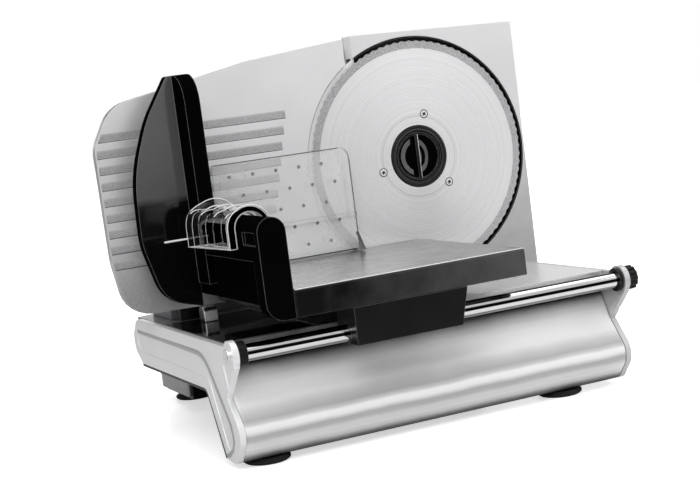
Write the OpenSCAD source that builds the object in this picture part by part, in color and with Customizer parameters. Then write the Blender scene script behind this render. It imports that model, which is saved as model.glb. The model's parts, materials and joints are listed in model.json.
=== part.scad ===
// Electric food slicer: round serrated blade, thickness plate and a carriage that slides on a front rail.
// Machine frame: X along the carriage travel, Y to the back, Z up from the feet.
// Every part is first placed from the blade's axis and cutting plane, then moved so that the origin is the
// middle of the footprint on the ground.

/* [Blade] */
// Diameter over the serrated edge
blade_d = 190; // [184:1:200]
// Thickness of the blade disc
blade_t = 1.4; // [1:0.1:2]
// Gap between the deck and the blade's lowest point
blade_lift = 6; // [5:0.5:9]
// Width of the ground bevel behind the edge
bevel_w = 6.5; // [4:0.5:9]
// Number of waves round the edge
wave_count = 88; // [60:4:120]
// Depth of one wave
wave_depth = 1.1; // [0.5:0.1:1.5]
// Gap between the edge and the parts round it
blade_gap = 2; // [1.5:0.1:3]
// Diameter of the black hub ring
hub_d = 51.2; // [46:0.2:56]
// Diameter of the circle of blade screws
screw_pcd = 70; // [64:1:76]

/* [Base] */
// Height of the deck above the ground
deck_h = 89; // [84:1:92]
// Length over the two end caps
base_l = 321; // [300:1:360]
// How far the housing plate overhangs the base at the right
overhang = 15.5; // [12:0.5:20]
// Thickness of an end cap
cap_t = 4.5; // [3.5:0.5:6]
// Wall of the moulded covers
wall = 2.5; // [2:0.1:3]
// Cutting plane to the front edge of the deck
deck_front = 131; // [129:1:134]
// Cutting plane to the back of an end cap
cap_back = 88; // [80:1:92]
// Cutting plane to the back of the deck
deck_back = 185; // [178:1:195]
// How far the deck behind the end caps is stepped in at the left
back_step = 36; // [24:1:44]
// Height of the hand space below the deck
hand_space = 52.5; // [44:0.5:56]
// Height of the front panel's lower edge above the ground
skirt_gap = 4.5; // [3:0.5:7]

/* [Feet] */
// Diameter of a rubber foot
foot_d = 34; // [28:1:38]
// Left end of the base to the left front foot
foot_inset = 27; // [22:1:46]
// Right end of the base to the right front foot
foot_inset_right = 51; // [34:1:60]

/* [Rail] */
// Diameter of the guide rail
rail_d = 12.2; // [10:0.2:13]
// Cutting plane to the rail's axis
rail_y = 151; // [149:1:153]
// How far the rail's axis lies below the deck's top
rail_drop = 5.8; // [4.8:0.2:8]
// Diameter of the clamping knob at the right
knob_d = 19; // [16:1:22]
// Depth of the clamping knob
knob_t = 9; // [7:1:12]

/* [Housing] */
// Width of the housing plate beyond the blade's edge at the right
plate_margin = 5; // [4.5:0.5:11]
// Blade axis to the left edge of the silver housing plate
plate_cut = 48.7; // [44:0.1:56]
// Height of the housing plate over the blade's edge, at its left corner
crown_left = 9; // [7:0.5:14]
// Height of the housing plate over the blade's edge, at its right corner
crown_right = 6; // [5:0.5:12]
// Depth of the blade housing
housing_d = 14; // [12:1:16]
// Cutting plane to the back of the motor cover
motor_back = 130; // [122:1:140]
// Blade axis to the top of the motor cover
motor_top = 62; // [56:1:72]

/* [Thickness plate] */
// Blade axis to the left edge of the thickness plate
gauge_left = 269; // [262:1:276]
// Gap between the blade's edge and the arc of the plate round it
gauge_gap = 3.2; // [2.5:0.1:4]
// Thinnest slice: cutting plane to the face of the plate at rest
slice_min = 2; // [2:0.1:3]
// Thickness of its sheet
gauge_t = 1.2; // [0.8:0.1:1.6]
// Height of the embossed ribs over the grooves between them
rib_h = 1.5; // [0.8:0.1:1.8]
// Spacing of the embossed ribs
rib_pitch = 12.2; // [11:0.1:15]
// Number of embossed ribs
rib_count = 9; // [6:1:9]
// Largest slice thickness
slice_max = 15; // [10:1:16]

/* [Carriage] */
// Length of the carriage over the fence
tray_l = 203.5; // [190:0.5:220]
// Blade axis to the carriage's right end
tray_right = 7; // [5:1:10]
// Cutting plane to the front of the carriage
tray_front = 168; // [164:1:174]
// Cutting plane to the carriage's back edge
tray_gap = 3; // [2:0.5:5]
// Height of the tray above the deck
tray_lift = 33.5; // [30:0.5:36]
// Height of the tray's skirt
skirt_h = 20; // [16:1:22]
// Thickness of the steel plate on the tray
tray_sheet = 1; // [0.8:0.1:1.4]
// Width of the fence bar
fence_w = 21; // [18:1:24]
// Height of the fence above the tray
fence_rise = 51.8; // [46:0.2:56]
// Length of the sliding foot on the rail
slider_l = 90; // [80:1:104]
// Height of the hand guard above the fence
guard_rise = 104.7; // [96:0.1:108]
// Width of the hand guard's leaf beyond the fence
leaf_w = 40; // [34:1:46]

/* [Pusher] */
// Width of the clear pusher plate
pusher_w = 116; // [100:1:122]
// Height of the clear pusher plate
pusher_h = 83; // [70:1:86]
// Thickness of the clear plastic
clear_t = 2.5; // [2:0.1:3]
// Length of the grip that rides on the fence
grip_l = 76; // [64:1:80]
// Length of the spikes
spike_l = 3.4; // [2.5:0.1:3.6]

/* [Drive] */
// Module of the slow gear pair
slow_module = 1.25; // [1.25:0.01:1.3]
// Module of the fast gear pair
fast_module = 1; // [1:0.01:1.05]
// Diameter of the blade shaft
shaft_d = 10; // [8:0.5:12]
// Diameter of the motor's stator
stator_d = 50; // [44:1:52]
// Length of the motor's stator
stator_l = 42; // [34:1:48]

/* [Hidden] */
$fn = 64;

// Clearances
fit = 0.05;    // radial running fit
seat = 0.3;    // between separate covers
play = 0.6;    // between parts that slide past each other
slip = 1.5;    // between parts that must never rub

// Heights and radii that several parts share
blade_r = blade_d / 2;
blade_h = deck_h + blade_lift + blade_r;
plate_right = blade_r + plate_margin;
crown_left_z = blade_h + blade_r + crown_left;
crown_right_z = blade_h + blade_r + crown_right;
rail_h = deck_h - rail_drop;
tray_h = deck_h + tray_lift;
fence_h = tray_h + fence_rise;
guard_h = fence_h + guard_rise;

// Middle of the footprint
mid_x = (plate_right - gauge_left) / 2;
mid_y = (deck_back - tray_front) / 2;

// Ends of the base
right_out = plate_right - overhang;
right_in = right_out - cap_t;
left_out = right_out - base_l;
left_in = left_out + cap_t;
back_left = left_in + back_step;

// Colours
silver = [0.78, 0.78, 0.79];
steel = [0.72, 0.73, 0.74];
dark = [0.07, 0.07, 0.08];
grey = [0.45, 0.45, 0.47];

function unit(v) = v / norm(v);

// Points of one rounded corner at b between a and c
function corner(a, b, c, r, n = 6) =
  let (u = unit(a - b), v = unit(c - b), half = acos(u * v) / 2, t = r / tan(half),
       cen = b + unit(u + v) * r / sin(half), p = b + u * t - cen, q = b + v * t - cen,
       a0 = atan2(p.y, p.x), sweep = ((atan2(q.y, q.x) - a0 + 540) % 360) - 180)
  [for (i = [0:n]) cen + r * [cos(a0 + sweep * i / n), sin(a0 + sweep * i / n)]];

// A closed outline whose corners have the radii in r
function rounded(pts, r) =
  let (n = len(pts))
  [for (i = [0:n - 1]) each (r[i] > 0 ? corner(pts[(i + n - 1) % n], pts[i], pts[(i + 1) % n], r[i]) : [pts[i]])];

// The same for an open line, which keeps its two ends
function bent(pts, r) =
  let (n = len(pts))
  [for (i = [0:n - 1])
    each ((i > 0 && i < n - 1 && r[i] > 0) ? corner(pts[i - 1], pts[i], pts[i + 1], r[i]) : [pts[i]])];

function left_of(a, b) = let (d = unit(b - a)) [-d.y, d.x];

function shifted(p, i, t) =
  i == 0 ? p[0] + t * left_of(p[0], p[1])
  : i == len(p) - 1 ? p[i] + t * left_of(p[i - 1], p[i])
  : let (m = left_of(p[i - 1], p[i]), k = left_of(p[i], p[i + 1]), s = unit(m + k)) p[i] + s * t / (s * k);

// A sheet of thickness t on the left of the line p
function sheet_of(p, t) = concat(p, [for (i = [len(p) - 1:-1:0]) shifted(p, i, t)]);

// Moves a machine-frame part to the origin at the middle of the footprint
module placed() translate([-mid_x, -mid_y, 0]) children();

// Extrudes an (x, z) outline from y0 to y1
module along_y(y0, y1) translate([0, y1, 0]) rotate([90, 0, 0]) linear_extrude(y1 - y0) children();

// Extrudes a (y, z) outline from x0 to x1
module along_x(x0, x1) translate([x0, 0, 0]) rotate([90, 0, 90]) linear_extrude(x1 - x0) children();

module box(x0, x1, y0, y1, z0, z1) translate([x0, y0, z0]) cube([x1 - x0, y1 - y0, z1 - z0]);

module rod_x(r, x0, x1, y, z) translate([x0, y, z]) rotate([0, 90, 0]) cylinder(r = r, h = x1 - x0);

module rod_y(r, y0, y1, x, z) translate([x, y1, z]) rotate([90, 0, 0]) cylinder(r = r, h = y1 - y0);

module rod_z(r, z0, z1, x, y) translate([x, y, z0]) cylinder(r = r, h = z1 - z0);

module tube_x(ro, ri, x0, x1, y, z) difference() {
  rod_x(ro, x0, x1, y, z);
  rod_x(ri, x0 - 1, x1 + 1, y, z);
}

module tube_y(ro, ri, y0, y1, x, z) difference() {
  rod_y(ro, y0, y1, x, z);
  rod_y(ri, y0 - 1, y1 + 1, x, z);
}

// ---- base ----

// Front panel: the line from its top edge over the crease to the inner edge of the leg
panel_top = [-126, hand_space + 19.5];
panel_knee = [-135, hand_space - 0.5];
panel_crease = [-152, hand_space - 20.9];
panel_low = [-151.5, skirt_gap + 16];
panel_heel = [-137.5, skirt_gap];
leg_foot = [-117, skirt_gap];
leg_top = [-91, hand_space];
panel_line = bent([panel_top, panel_knee, panel_crease, panel_low, panel_heel, leg_foot], [0, 30, 14, 12, 10, 0]);

module front_panel() color(silver) placed()
  along_x(left_in + seat, right_in - seat)
    polygon(sheet_of(panel_line, wall));

// End cap outline: deck edge, rounded back, hand space, leg, crease and the ear that holds the rail
ear_r = 10.5;
leg_fillet = 10;
cap_line = rounded([
  [-rail_y, deck_h + 1], [-rail_y + 14, deck_h], [cap_back - 14, deck_h], [cap_back, deck_h - 14],
  [cap_back - 1, hand_space + 10], [cap_back - 16, hand_space], leg_top, [leg_foot.x - 1, skirt_gap + 1],
  [panel_heel.x, skirt_gap], panel_low, panel_crease, panel_knee, [-rail_y - 8, rail_h - 8]
], [0, 3, 14, 8, 8, 3, leg_fillet, 1, 8, 10, 12, 0, 0]);

module end_cap_shape(x0, x1, outer) difference() {
  union() {
    along_x(x0, x1) polygon(cap_line);
    rod_x(ear_r, x0, x1, -rail_y, rail_h);
  }
  // the field inside the raised border is sunk
  along_x(outer - 0.5, outer + 0.5) polygon(rounded([
    [-rail_y + 34, deck_h - 9], [cap_back - 12, deck_h - 9], [cap_back - 12, hand_space + 10],
    [leg_top.x - 8, hand_space + 9], [leg_foot.x - 7, skirt_gap + 8], [-140, skirt_gap + 14],
    [-138, hand_space - 22], [-rail_y + 22, hand_space + 9]
  ], [10, 8, 8, 8, 3, 6, 16, 8]));
  rod_x(rail_screw_r + fit, x0 - 1, x1 + 1, -rail_y, rail_h);
  // slanted oblong recess in the ear
  along_x(outer - 0.6, outer + 0.6) polygon(rounded(ear_slot_line, ear_slot_round));
}

rail_screw_r = 3;
ear_slot_r = 2.2;
ear_slot = [[-rail_y + 13, rail_h - 9], [-rail_y + 8, rail_h - 24]];
ear_slot_end = ear_slot_r * unit(ear_slot[1] - ear_slot[0]);
ear_slot_side = ear_slot_r * left_of(ear_slot[0], ear_slot[1]);
ear_slot_line = [
  ear_slot[0] - ear_slot_end + ear_slot_side, ear_slot[0] - ear_slot_end - ear_slot_side,
  ear_slot[1] + ear_slot_end - ear_slot_side, ear_slot[1] + ear_slot_end + ear_slot_side
];
ear_slot_round = [for (p = ear_slot_line) ear_slot_r - 0.1];

module left_end_cap() color(silver) placed() end_cap_shape(left_out, left_in, left_out);

module right_end_cap() color(silver) placed() end_cap_shape(right_in, right_out, right_out);

deck_t = 3;
deck_step_y = cap_back + 4;
deck_plan = rounded([
  [left_in + seat, -deck_front], [right_in - seat, -deck_front], [right_in - seat, deck_back],
  [back_left, deck_back], [back_left, deck_step_y], [left_in + seat, cap_back - 3]
], [0, 0, 18, 22, 6, 0]);
rear_floor = skirt_gap + 9;

module deck_cover() color(silver) placed() {
  difference() {
    translate([0, 0, deck_h - deck_t]) linear_extrude(deck_t) polygon(deck_plan);
    box(inlay_left - seat, inlay_right + seat, inlay_front - seat, inlay_back + seat, deck_h - 1, deck_h + 1);
  }
  // front skirt behind the rail
  box(left_in + seat, right_in - seat, -deck_front, -deck_front + wall, panel_top.y + 3, deck_h - deck_t);
  // walls of the rear compartment
  difference() {
    translate([0, 0, rear_floor]) linear_extrude(deck_h - deck_t - rear_floor) polygon(rounded([
      [back_left, deck_step_y], [right_in - seat, deck_step_y], [right_in - seat, deck_back],
      [back_left, deck_back]
    ], [2, 2, 18, 22]));
    translate([0, 0, rear_floor - 1]) linear_extrude(deck_h - rear_floor) polygon(rounded([
      [back_left + wall, deck_step_y + wall], [right_in - seat - wall, deck_step_y + wall],
      [right_in - seat - wall, deck_back - wall], [back_left + wall, deck_back - wall]
    ], [1, 1, 16, 20]));
  }
}

inlay_left = left_in + 1.5;
inlay_right = -160;
inlay_front = -deck_front + 6;
inlay_back = 12;

module deck_inlay() color(dark) placed()
  box(inlay_left, inlay_right, inlay_front, inlay_back, deck_h - 1, deck_h);

pan_t = 2;
pan_line = bent([
  [leg_foot.x + 2, skirt_gap + 1.5], [leg_top.x + 1.2, hand_space - seat], [cap_back - 15, hand_space - seat]
], [0, leg_fillet, 0]);

module bottom_pan() color(dark) placed() {
  along_x(left_out + 0.5, right_out - 0.5) polygon(sheet_of(pan_line, -pan_t));
  box(back_left + 3, right_in - 4, cap_back - 16, deck_step_y - 1, hand_space - seat - pan_t, hand_space - seat);
  difference() {
    box(back_left + 3, right_in - 4, deck_step_y - 3, deck_step_y - seat, rear_floor - pan_t, hand_space - seat);
    box(back_left + 6, right_in - 7, deck_step_y - 9, deck_step_y - 2.3, rear_floor - 9, rear_floor - 8);
  }
  translate([0, 0, rear_floor - pan_t - seat]) linear_extrude(pan_t) polygon(rounded([
    [back_left + 3, deck_step_y - 3], [right_in - 4, deck_step_y - 3], [right_in - 4, deck_back - 3],
    [back_left + 3, deck_back - 3]
  ], [1, 1, 16, 20]));
}

foot_r = foot_d / 2;
front_foot_y = -125;
rear_foot_y = deck_back - 27;
rear_foot_x = [back_left + 26, right_in - 30];
front_foot_x = [left_out + foot_inset, right_out - foot_inset_right];
foot_pad = skirt_gap - seat;
foot_core_r = 8;
foot_screw_r = 2;
rear_foot_top = rear_floor - seat - pan_t;

// A rubber foot: a low disc with a screw hole, and a neck up to the floor of the rear compartment
module foot(x, y, top) difference() {
  union() {
    rod_z(foot_r - 1.5, 0, foot_pad, x, y);
    rod_z(foot_r, 1, foot_pad - 1, x, y);
    rod_z(foot_core_r, 1, top, x, y);
  }
  rod_z(foot_screw_r + 2.5, -1, 1.8, x, y);
  rod_z(foot_screw_r + fit, -1, top + 1, x, y);
}

module feet() color(dark) placed() {
  for (x = front_foot_x) foot(x, front_foot_y, foot_pad);
  for (x = rear_foot_x) foot(x, rear_foot_y, rear_foot_top);
}

module foot_screw(x, y, top) {
  rod_z(foot_screw_r, 1, top, x, y);
  rod_z(foot_screw_r + 2, 0.4, 1.6, x, y);
}

module foot_screws() color(steel) placed() {
  for (x = front_foot_x) foot_screw(x, front_foot_y, foot_pad);
  for (x = rear_foot_x) foot_screw(x, rear_foot_y, rear_foot_top);
}

rail_r = rail_d / 2;

module guide_rail() color(steel) placed()
  rod_x(rail_r, left_in, right_in, -rail_y, rail_h);

bumper_l = 7;
bumper_r = 9;

module rail_bumpers() color(dark) placed() {
  tube_x(bumper_r, rail_r + fit, left_in + seat, left_in + bumper_l, -rail_y, rail_h);
  tube_x(bumper_r, rail_r + fit, right_in - 3, right_in - seat, -rail_y, rail_h);
}

module rail_screw() color(steel) placed() {
  rod_x(rail_screw_r, left_out - 0.2, left_in, -rail_y, rail_h);
  difference() {
    rod_x(5, left_out - 2, left_out, -rail_y, rail_h);
    box(left_out - 3, left_out - 1.2, -rail_y - 0.6, -rail_y + 0.6, rail_h - 4, rail_h + 4);
    box(left_out - 3, left_out - 1.2, -rail_y - 4, -rail_y + 4, rail_h - 0.6, rail_h + 0.6);
  }
}

knob_r = knob_d / 2;

module rail_knob() color(dark) placed() {
  rod_x(rail_screw_r, right_in + 0.1, right_out + 2, -rail_y, rail_h);
  rod_x(knob_r - 2, right_out + seat, right_out + knob_t, -rail_y, rail_h);
  for (i = [0:11]) translate([right_out + 1.5, -rail_y, rail_h]) rotate([i * 30, 0, 0])
    translate([0, 0, knob_r - 2]) rotate([0, 90, 0]) cylinder(r = 1.8, h = knob_t - 2.5, $fn = 24);
}

// ---- blade housing and drive ----

well_in = blade_r + blade_gap + 0.3;
well_t = 1.2;
well_out = well_in + well_t;
housing_hole = well_out + 0.1;
housing_face = 1;
housing_foot = deck_h + seat;
overhang_foot = deck_h - 5;
overhang_x = right_out + 0.8;

// Outline of the silver housing plate, stepped down beside the right end cap
housing_line = rounded([
  [-plate_cut, housing_foot], [overhang_x, housing_foot], [overhang_x, overhang_foot],
  [plate_right, overhang_foot], [plate_right, crown_right_z], [-plate_cut, crown_left_z]
], [0, 0, 0, 0, 2, 1]);

guard_ring_in = blade_r - 5;
guard_ring_out = blade_r + 2.4;
guard_ring_y = [3.6, 4.8];

// Ring behind the blade's free side, with a tab at each end to the housing's left wall
module guard_ring() difference() {
  intersection() {
    rod_y(housing_hole + 2, guard_ring_y[0], guard_ring_y[1], 0, blade_h);
    union() {
      box(-plate_cut, -plate_cut + wall - 0.1, guard_ring_y[0], guard_ring_y[1], 0, 2 * blade_h);
      intersection() {
        rod_y(guard_ring_out, guard_ring_y[0], guard_ring_y[1], 0, blade_h);
        box(-blade_d, -plate_cut + 1, guard_ring_y[0], guard_ring_y[1], 0, 2 * blade_h);
      }
    }
  }
  rod_y(guard_ring_in, guard_ring_y[0] - 1, guard_ring_y[1] + 1, 0, blade_h);
}

module blade_housing() color(silver) placed() {
  housing_shell();
  guard_ring();
}

module housing_shell() difference() {
  along_y(housing_face, housing_d) polygon(housing_line);
  rod_y(housing_hole, housing_face - 1, housing_d + 1, 0, blade_h);
  // hollow behind the face, open to the back
  along_y(housing_face + wall, housing_d + 1) polygon([
    [-plate_cut + wall, housing_foot + wall], [overhang_x + wall, housing_foot + wall],
    [overhang_x + wall, overhang_foot + wall], [plate_right - wall, overhang_foot + wall],
    [plate_right - wall, crown_right_z - wall], [-plate_cut + wall, crown_left_z - wall]
  ]);
}

well_floor = 7;
well_back = 9;

module blade_well() color(dark) placed() difference() {
  rod_y(well_out, housing_face, well_back, 0, blade_h);
  rod_y(well_in, housing_face - 1, well_floor, 0, blade_h);
  rod_y(flange_boss_r + slip, 0, well_back + 1, 0, blade_h);
  box(-blade_d, -plate_cut + wall + seat, -1, well_back + 1, 0, 2 * blade_h);
}

blade_front = 0.4;
flange_boss_r = 16;
flange_r = 42;
flange_front = blade_front + blade_t + 0.1;
flange_back = well_floor - 1;
shaft_r = shaft_d / 2;

// Motor cover: a back plate behind the housing, the tub round the motor and the side wall beside the base
cover_front = housing_d + seat;
cover_plate_t = 2.5;
tub_left = -plate_cut + 4.7;
tub_right = plate_right - 6;
tub_top = blade_h + motor_top;
tub_foot = deck_h + seat;
apron_foot = 70;

module motor_housing() color(silver) placed() difference() {
  union() {
    along_y(cover_front, cover_front + cover_plate_t) polygon(housing_line);
    along_y(cover_front, motor_back) polygon(rounded([
      [tub_left, tub_foot], [tub_right, tub_foot], [tub_right, tub_top], [tub_left, tub_top]
    ], [0, 0, 34, 44]));
    box(overhang_x, plate_right, housing_face, motor_back - 8, apron_foot, overhang_foot - seat);
    box(tub_right - 4, plate_right, cover_front, motor_back - 8, overhang_foot - 1, tub_foot + 8);
  }
  along_y(cover_front - 1, motor_back - wall) polygon(rounded([
    [tub_left + wall, tub_foot + wall], [tub_right - wall, tub_foot + wall],
    [tub_right - wall, tub_top - wall], [tub_left + wall, tub_top - wall]
  ], [0, 0, 32, 42]));
  // cooling slots in the back wall
  for (i = [0:6]) box(motor_x - 24, motor_x + 24, motor_back - 5, motor_back + 1,
    motor_z - 20 + i * 6, motor_z - 17 + i * 6);
  // cord outlet
  rod_y(gland_r + fit, motor_back - 5, motor_back + 1, gland_x, gland_z);
  // hole for the power button
  rod_z(button_r + play, tub_top - 9, tub_top + 9, button_x, button_y);
  for (p = cover_bosses) rod_y(cover_screw_r + fit, cover_front - 1, cover_front + 9, p.x, p.y);
}

cover_screw_r = 1.8;
cover_boss_in = wall + 3.5;
cover_bosses = [
  [plate_right - cover_boss_in, crown_right_z - cover_boss_in],
  [-plate_cut + cover_boss_in, crown_left_z - cover_boss_in - seat]
];

module housing_screws() color(steel) placed() for (p = cover_bosses) {
  rod_y(cover_screw_r, housing_face + wall + seat, cover_front + cover_plate_t, p.x, p.y);
  rod_y(cover_screw_r + 1.6, cover_front + cover_plate_t, cover_front + cover_plate_t + 1.8, p.x, p.y);
}

// Two-stage spur drive: motor pinion to the idler's large gear, the idler's small gear to the blade gear
slow_teeth = 60;
slow_pinion = 12;
fast_teeth = 48;
fast_pinion = 12;
slow_distance = slow_module * (slow_teeth + slow_pinion) / 2;
fast_distance = fast_module * (fast_teeth + fast_pinion) / 2;
idler_angle = -45;
motor_angle = -105;
idler_x = slow_distance * cos(idler_angle);
idler_z = blade_h + slow_distance * sin(idler_angle);
motor_x = idler_x + fast_distance * cos(motor_angle);
motor_z = idler_z + fast_distance * sin(motor_angle);
pressure = 25;
backlash = 0.24;
slow_y = [22, 31];
fast_y = [33, 40];

function inv(a) = tan(a) * 180 / PI - a;

// One gear outline: involute flanks, phase turns a tooth onto that angle
function gear_line(n, m, phase) =
  let (r = m * n / 2, rb = r * cos(pressure), tip = r + 0.9 * m, root = r - 1.2 * m,
       half = 90 / n - backlash * 90 / (PI * r), low = max(rb, root + 0.15 * m),
       flank = function(q) half + inv(pressure) - inv(acos(min(1, rb / q))),
       at = [root, low, (low + r) / 2, r, (r + tip) / 2, tip])
  [for (i = [0:n - 1]) let (c = phase + i * 360 / n)
    each concat(
      [for (q = at) q * [cos(c - flank(max(q, low))), sin(c - flank(max(q, low)))]],
      [for (j = [5:-1:0]) at[j] * [cos(c + flank(max(at[j], low))), sin(c + flank(max(at[j], low)))]])];

module gear(n, m, phase, y0, y1, x, z) translate([x, 0, z]) along_y(y0, y1) polygon(gear_line(n, m, phase));

module blade_disc() color(steel) placed() difference() {
  union() {
    // wavy edge band
    along_y(blade_front, blade_front + blade_t / 2) translate([0, blade_h]) polygon([
      for (i = [0:wave_count * 4 - 1]) let (a = i * 90 / wave_count, w = wave_depth * (1 + cos(i * 90)) / 2)
        (blade_r - w) * [cos(a), sin(a)]
    ]);
    rod_y(blade_r - bevel_w, blade_front, blade_front + blade_t, 0, blade_h);
  }
  rod_y(hub_d / 2 + fit, -1, 5, 0, blade_h);
  for (a = screw_angles) rod_y(blade_screw_r + fit, -1, 5, screw_x(a), screw_z(a));
}

screw_angles = [75, 195, 315];
blade_screw_r = 3.6;
function screw_x(a) = screw_pcd / 2 * cos(a);
function screw_z(a) = blade_h + screw_pcd / 2 * sin(a);

module blade_screws() color(steel) placed() for (a = screw_angles) difference() {
  union() {
    rod_y(blade_screw_r, blade_front, blade_front + blade_t, screw_x(a), screw_z(a));
    rod_y(1.5, blade_front, flange_back - 0.4, screw_x(a), screw_z(a));
  }
  box(screw_x(a) - 2, screw_x(a) + 2, blade_front - 1, blade_front + 0.8, screw_z(a) - 0.4, screw_z(a) + 0.4);
  box(screw_x(a) - 0.4, screw_x(a) + 0.4, blade_front - 1, blade_front + 0.8, screw_z(a) - 2, screw_z(a) + 2);
}

module blade_flange() color(dark) placed() difference() {
  union() {
    rod_y(flange_r, flange_front, flange_back, 0, blade_h);
    rod_y(flange_boss_r, flange_front, gearbox_y - 0.5, 0, blade_h);
  }
  rod_y(shaft_r + fit, flange_front - 1, gearbox_y + 1, 0, blade_h);
  for (a = screw_angles) rod_y(1.5 + fit, 0, 9, screw_x(a), screw_z(a));
}

ring_in = hub_d / 2 - 5;

module hub_ring() color(dark) placed() {
  tube_y(hub_d / 2, ring_in, blade_front, blade_front + blade_t, 0, blade_h);
}

grip_r = ring_in - 0.6;
grip_rim = 3;
grip_bar_w = 6;
grip_well = 1;

// Recessed grip: two half-moon wells with an upright bar between them
module hub_grip() color(dark) placed() difference() {
  rod_y(grip_r, blade_front, blade_front + blade_t, 0, blade_h);
  along_y(blade_front - 1, blade_front + grip_well) translate([0, blade_h]) difference() {
    circle(r = grip_r - grip_rim);
    square([grip_bar_w, 2 * grip_r], center = true);
  }
}

gearbox_y = 12;
gearbox_t = 3;
rear_plate_y = 44;
bearing_r = 11;
shaft_end = rear_plate_y + 8;

module blade_shaft() color(steel) placed() {
  rod_y(shaft_r, flange_front + 0.1, shaft_end, 0, blade_h);
}

module drive_gear() color([0.85, 0.84, 0.78]) placed() difference() {
  union() {
    gear(slow_teeth, slow_module, idler_angle, slow_y[0], slow_y[1], 0, blade_h);
    rod_y(11, gearbox_y + gearbox_t + 4, slow_y[1] + 3, 0, blade_h);
  }
  rod_y(shaft_r + fit, 0, rear_plate_y, 0, blade_h);
  for (a = [0:60:300]) rod_y(6.5, 0, rear_plate_y, 21.5 * cos(a + 20), blade_h + 21.5 * sin(a + 20));
}

idler_pin_r = 4;
// a gap of the pinion faces a tooth of the gear on the line between their axes
idler_phase = idler_angle + 180 + 180 / slow_pinion;

module idler_gear() color([0.85, 0.84, 0.78]) placed() difference() {
  union() {
    gear(slow_pinion, slow_module, idler_phase, slow_y[0], fast_y[0], idler_x, idler_z);
    gear(fast_teeth, fast_module, motor_angle, fast_y[0], fast_y[1], idler_x, idler_z);
  }
  rod_y(idler_pin_r + fit, 0, rear_plate_y, idler_x, idler_z);
}

module idler_pin() color(steel) placed()
  rod_y(idler_pin_r, gearbox_y + 0.5, rear_plate_y + gearbox_t, idler_x, idler_z);

motor_shaft_r = 3;
pinion_phase = motor_angle + 180 + 180 / fast_pinion;
motor_front = rear_plate_y + gearbox_t + 2;
motor_end = motor_front + stator_l;

module motor_pinion() color(steel) placed() difference() {
  gear(fast_pinion, fast_module, pinion_phase, fast_y[0] - 0.5, fast_y[1] + 1, motor_x, motor_z);
  rod_y(motor_shaft_r + fit, 0, motor_back, motor_x, motor_z);
}

rotor_r = stator_d / 2 - 11;

module motor_rotor() color(steel) placed() {
  rod_y(motor_shaft_r, fast_y[0] - 2, motor_end + 20, motor_x, motor_z);
  rod_y(rotor_r, motor_front + 2, motor_end - 2, motor_x, motor_z);
  rod_y(8, motor_end - 2, motor_end + 5, motor_x, motor_z);
}

module motor_stator() color(grey) placed() {
  difference() {
    rod_y(stator_d / 2, motor_front, motor_end, motor_x, motor_z);
    rod_y(rotor_r + 0.6, motor_front - 1, motor_end + 1, motor_x, motor_z);
  }
}

fan_y = motor_end + 10;

module cooling_fan() color(dark) placed() difference() {
  union() {
    rod_y(8, fan_y, fan_y + 7, motor_x, motor_z);
    rod_y(stator_d / 2 - 4, fan_y, fan_y + 1.5, motor_x, motor_z);
    for (i = [0:7]) translate([motor_x, 0, motor_z]) rotate([0, i * 45, 0])
      box(7, stator_d / 2 - 4, fan_y + 1, fan_y + 7, -0.8, 0.8);
  }
  rod_y(motor_shaft_r + fit, fan_y - 1, fan_y + 9, motor_x, motor_z);
}

// A plate that fits the inside of the motor cover
module gearbox_plate(y) along_y(y, y + gearbox_t) polygon(rounded([
  [tub_left + wall + seat, tub_foot + wall + seat], [tub_right - wall - seat, tub_foot + wall + seat],
  [tub_right - wall - seat, tub_top - wall - seat], [tub_left + wall + seat, tub_top - wall - seat]
], [0, 0, 32, 42]));

module gearbox_front() color(dark) placed() difference() {
  union() {
    gearbox_plate(gearbox_y);
    rod_y(bearing_r + 4, gearbox_y, gearbox_y + gearbox_t + 3, 0, blade_h);
    rod_y(idler_pin_r + 4, gearbox_y, slow_y[0] - 1, idler_x, idler_z);
  }
  rod_y(bearing_r + fit, gearbox_y - 1, gearbox_y + gearbox_t + 4, 0, blade_h);
  rod_y(idler_pin_r + fit, gearbox_y - 1, slow_y[0], idler_x, idler_z);
}

post_r = 4;
post_in = [18, 15];
post_drop = 23;

// Rear plate of the gearbox with four posts to the front plate and the seat of the stator
module gearbox_rear() color(dark) placed() difference() {
  union() {
    gearbox_plate(rear_plate_y);
    rod_y(bearing_r + 4, rear_plate_y - 2, rear_plate_y + 7, 0, blade_h);
    for (x = [tub_left + post_in.x, tub_right - post_in.y], z = [motor_z - post_drop, tub_top - post_drop])
      rod_y(post_r, gearbox_y + gearbox_t + 0.1, rear_plate_y + 1, x, z);
    tube_y(stator_d / 2 + 3, stator_d / 2 + 0.1, rear_plate_y + 1, motor_front + 14, motor_x, motor_z);
  }
  rod_y(bearing_r + fit, rear_plate_y - 3, rear_plate_y + 8, 0, blade_h);
  rod_y(motor_shaft_r + fit, rear_plate_y - 1, rear_plate_y + gearbox_t + 1, motor_x, motor_z);
  rod_y(idler_pin_r + fit, rear_plate_y - 1, rear_plate_y + gearbox_t + 1, idler_x, idler_z);
}

module shaft_bearings() color(steel) placed() {
  tube_y(bearing_r, shaft_r + fit, gearbox_y, gearbox_y + gearbox_t + 3, 0, blade_h);
  tube_y(bearing_r, shaft_r + fit, rear_plate_y - 2, rear_plate_y + 7, 0, blade_h);
}

module motor_bearing() color(grey) placed() difference() {
  union() {
    rod_y(stator_d / 2, motor_end + 0.1, motor_end + 3, motor_x, motor_z);
    tube_y(9, motor_shaft_r + fit, motor_end + 6, motor_end + 9, motor_x, motor_z);
    for (s = [-1, 1]) box(motor_x + s * 12 - 4, motor_x + s * 12 + 4, motor_end + 1, motor_end + 9,
      motor_z - 3, motor_z + 3);
  }
  rod_y(8.6, motor_end, motor_end + 6, motor_x, motor_z);
  rod_y(motor_shaft_r + fit, motor_end, motor_end + 12, motor_x, motor_z);
}

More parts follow.
